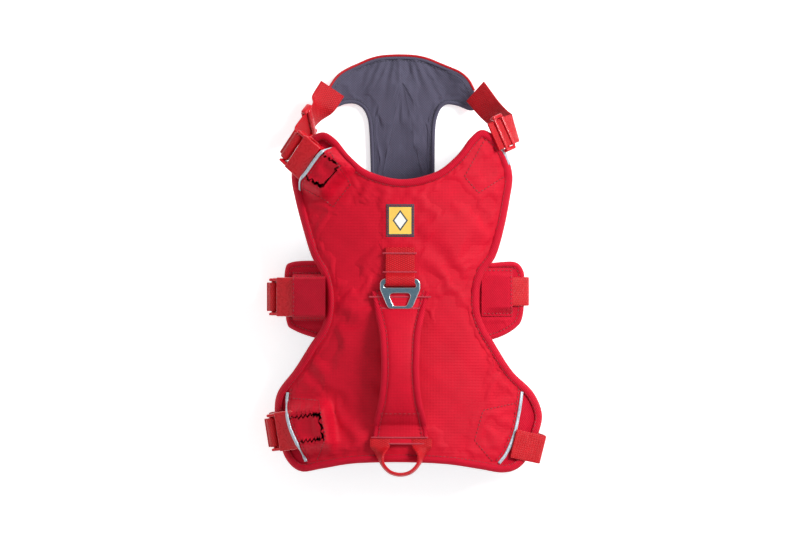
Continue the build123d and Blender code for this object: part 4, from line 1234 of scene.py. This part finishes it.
def make_straps():
    """The left girth and rear straps through their buckles, and the plain right ones in section."""
    make_left_strap("girth", GIRTH_LEVELS, [4, 7, 14])
    make_left_strap("rear", REAR_LEVELS, [4, 7, 14])
    right = side_shift([(89.0, 50.8), (105.3, 39.8), (106.0, 22.0), (92.0, 3.0), (37.5, 2.5)], WEB_T / 2)
    path, across = upright_strap(0, -25.0, 0, right, [5, 12, 14])
    piece("girth_strap_right_webbing", [webbing(path, across)], WEBBING,
          stands_for=("girth_strap_right",), ends=True)
    right = side_shift([(-8.0, 60.5), (18.3, 44.5), (17.0, 24.0), (2.0, 3.0), (-100.0, 2.5)], WEB_T / 2)
    path, across = upright_strap(100, -158.0, -14, right, [4, 10, 14])
    piece("rear_strap_right_webbing", [webbing(path, across)], WEBBING,
          stands_for=("rear_strap_right",), ends=True)


POCKETS_ON_WINGS = {"left": (-98.6, -69.5, -50.0, -9.5), "right": (65.0, 92.0, -46.0, -4.5)}


def wing_pocket_rise(name, points):
    """How far a wing's pocket stands off the wing: over the girth plug, or over the flat right strap."""
    ground = arch(points[:, 0], WING_R)
    if name == "left":
        return pocket_over(points, BUCKLES["girth"], ground, -26.0, 10.0, side=15.6, cover=5.4, fade=5.0)
    outer = np.clip((points[:, 0] - 66.0) / 22.0, 0, 1)
    side = np.clip(1 - (np.abs(points[:, 1] + 25.0) - 13.0) / 6.0, 0, 1)
    return 6.6 * outer * side**2 * (3 - 2 * side)


def make_wing_pockets():
    """Pockets sewn on the wings, open outwards, with the buckle or the strap inside."""
    for name, (x0, x1, y0, y1) in POCKETS_ON_WINGS.items():
        u, v = np.meshgrid(np.linspace(x0, x1, 60), np.linspace(y0, y1, 70), indexing="ij")
        flat = np.stack([u, v], axis=-1)
        edge = np.minimum(v - y0, y1 - v)
        lift = 1.3 + 0.9 * (1 - np.exp(-((edge / 3.0) ** 2))) + 0.25 * ripple(u, v, 6.0)
        rise = wing_pocket_rise(name, flat.reshape(-1, 2)).reshape(u.shape)
        top = np.dstack([flat, arch(u, WING_R) + lift + rise])
        low = top - np.array([0, 0, 1.0])
        rim = np.concatenate([top[:, 0], top[-1, 1:], top[-2::-1, -1], top[0, -2:0:-1]])
        foot = rim - np.array([0, 0, 1.0])
        made = piece(f"{name}_wing_pocket", [(top, False, None), (low[::-1], False, None),
                                             (np.stack([foot, rim]), True, None)],
                     TWILL, stands_for=(f"{name}_wing_tunnel",))
        grids = []
        inner = x1 - 3.0 if name == "left" else x0 + 3.0
        outer = x0 + 1.5 if name == "left" else x1 - 1.5
        for corners in ([(outer, y0 + 2.2), (inner, y0 + 2.2)], [(outer, y1 - 2.2), (inner, y1 - 2.2)],
                        [(outer, y0 + 3.0), (outer, y1 - 3.0)]):
            line = resample(np.array(corners, float), 40)
            height = arch(line[:, 0], WING_R) + 2.1 + wing_pocket_rise(name, line)
            up = panel_normal(line)
            grids += stitches(np.column_stack([line, height]) + up * 0.35, up)
        piece(f"{name}_wing_pocket_stitching", grids, THREAD)


NECK_LEFT_RUN = ((0.506, 0.675, -0.54), (-0.14, 0.68, 0.72))
# Stations along a neck strap: its centre, its direction of travel, and the direction of its width.
NECK_LEFT_BAND = [
    ((-98.5, 103.5, 47.5), (-0.1, 0.2, -1.0), (0.53, 0.79, 0.3)),
    ((-97.0, 108.0, 43.5), (0.25, 0.5, -0.8), (0.3, 0.8, 0.5)),
    ((-90.0, 116.0, 38.0), *NECK_LEFT_RUN),
    ((-78.9, 130.9, 26.1), *NECK_LEFT_RUN),
    ((-72.0, 140.5, 22.5), (0.6, 0.8, -0.3), (-0.72, 0.58, 0.30)),
    ((-64.5, 152.5, 20.0), (0.55, 0.8, -0.1), (-0.78, 0.52, 0.22)),
]
NECK_RIGHT_RUN = ((0.745, 0.35, -0.57), (0.4, -0.9, -0.04))
NECK_RIGHT_BAND = [
    ((75.0, 108.0, 70.7), *NECK_RIGHT_RUN),
    ((90.0, 115.0, 59.2), *NECK_RIGHT_RUN),
    ((94.0, 117.5, 50.0), (-0.1, 0.5, -0.85), (0.25, -0.86, -0.44)),
    ((87.0, 122.5, 41.0), (-0.7, 0.5, -0.5), (-0.05, -0.75, -0.66)),
    ((74.0, 133.0, 29.0), (-0.7, 0.6, -0.4), (-0.40, -0.75, -0.50)),
    ((60.5, 150.0, 20.5), (-0.6, 0.75, -0.2), (-0.60, -0.65, -0.42)),
]
NECK_RIGHT_SLIDER = (((75.0, 108.0, 70.7), *NECK_RIGHT_RUN), ((92.0, 116.0, 57.7), *NECK_RIGHT_RUN))


def neck_slider(name, first, last):
    """A slider midway between two stations: its face is the cross product of travel and width."""
    middle = (np.array(first[0]) + np.array(last[0])) / 2
    along, across = np.array(first[1]) / np.linalg.norm(first[1]), np.array(first[2])
    out = np.cross(along, across)
    out /= np.linalg.norm(out)
    make_slider(name, middle - out * WEB_T / 2, along, out)


def make_neck():
    """Neck straps: smooth lines through the stations, with the width direction turning along them."""
    place = BUCKLES["neck"]
    outer = side_shift([(ROD_X + 3.2, WRAP_R), (31.5, -9.5)], WEB_T / 2)[1:]
    points, bends = wrapped(outer, [2.5])
    path, across = section_path(place, points, bends, 90)
    turn = piece("neck_strap_left_turn_webbing", [webbing(path, across)], WEBBING, body=None,
                 stands_for=("neck_strap_left_turn",), ends=True)
    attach(turn, "neck_socket_body")
    for name, stations in (("left", NECK_LEFT_BAND), ("right", NECK_RIGHT_BAND)):
        whole = np.array([[*centre, *width] for centre, _, width in stations])
        line = smooth_line(whole, 110)
        strap = piece(f"neck_strap_{name}_webbing", [webbing(line[:, :3], line[:, 3:])], WEBBING,
                      body=None, stands_for=(f"neck_strap_{name}",), ends=True)
        if name == "left":
            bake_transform(strap)
        else:
            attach(strap, ROOT)
    neck_slider("neck_left", NECK_LEFT_BAND[2], NECK_LEFT_BAND[3])
    neck_slider("neck_right", *NECK_RIGHT_SLIDER)


# Making it, the stage and the lights

make_panel_base()
make_panel_shell()
make_panel_edge()
make_trims()
make_label()
for wing in WINGS:
    make_wing(wing)
make_wing_pockets()
make_chest_panel()
make_handle()
make_bartacks()
make_leash_ring()
make_ring_webbing()
make_rear_loop()
for buckle in BUCKLES:
    make_buckle(buckle)
    make_anchor(buckle)
make_straps()
make_section_slider("girth", GIRTH_LEVELS, 0.55)
make_section_slider("rear", REAR_LEVELS, 0.7)
make_neck()


def make_stage():
    # Floor, painted: matt, nearly white, with a faint mottle.
    paint, tree, shader = finish("floor_matt_paint", {"Roughness": 0.95, "Specular IOR Level": 0.1,
        "Emission Color": linear("#FFFFFF"),
                                                        "Emission Strength": 0.55})
    place = add(tree, "TexCoord").outputs["Object"]
    mottle = add(tree, "TexNoise", inputs={"Vector": place, "Scale": 3.0})
    tree.links.new(add(tree, "Mix", {"data_type": "RGBA"}, {0: mottle.outputs[0], 6: linear("#FAFAFA"),
        7: linear("#FFFFFF")}).outputs[2], shader.inputs["Base Color"])
    mesh = bpy.data.meshes.new("floor")
    size = 6.0
    mesh.from_pydata([(-size, -size, 0), (size, -size, 0), (size, size, 0), (-size, size, 0)], [], [(0, 1, 2, 3)])
    mesh.materials.append(paint)
    floor = bpy.data.objects.new("floor", mesh)
    floor.location.z = -0.0005
    bpy.context.collection.objects.link(floor)


def make_light(name, energy, size, place, aim=(0, 0, 0.05)):
    """A square area light at a place, turned to its aim."""
    lamp = bpy.data.lights.new(name, "AREA")
    lamp.energy, lamp.size = energy, size
    made = bpy.data.objects.new(name, lamp)
    made.location = place
    toward = np.array(aim) - np.array(place)
    made.rotation_euler = Vector(toward).to_track_quat("-Z", "Y").to_euler()
    bpy.context.collection.objects.link(made)


VIEW_X, VIEW_Y = -0.0054, -0.0033  # middle of the view
VIEW_WIDTH = 0.690  # at the height of the panel's shoulders
CAMERA_Z = 3.0


def make_camera():
    """A camera looking straight down, with its lens set by the width it sees."""
    camera = bpy.data.cameras.new("camera")
    camera.sensor_width = 36.0
    camera.lens = camera.sensor_width * (CAMERA_Z - 0.065) / VIEW_WIDTH
    made = bpy.data.objects.new("camera", camera)
    made.location = (VIEW_X, VIEW_Y, CAMERA_Z)
    bpy.context.collection.objects.link(made)
    bpy.context.scene.camera = made


make_stage()
make_light("key", 40.0, 0.7, (1.25, 0.75, 1.4))
make_light("fill", 7.0, 1.8, (-1.3, -0.6, 1.8))
make_light("top", 7.0, 2.2, (0.2, 0.0, 2.6))
make_camera()
world = bpy.data.worlds.new("studio")
world.use_nodes = True
world.node_tree.nodes["Background"].inputs[0].default_value = (1.0, 1.0, 1.0, 1.0)
world.node_tree.nodes["Background"].inputs[1].default_value = 0.34
bpy.context.scene.world = world
bpy.context.scene.view_settings.view_transform = "Standard"
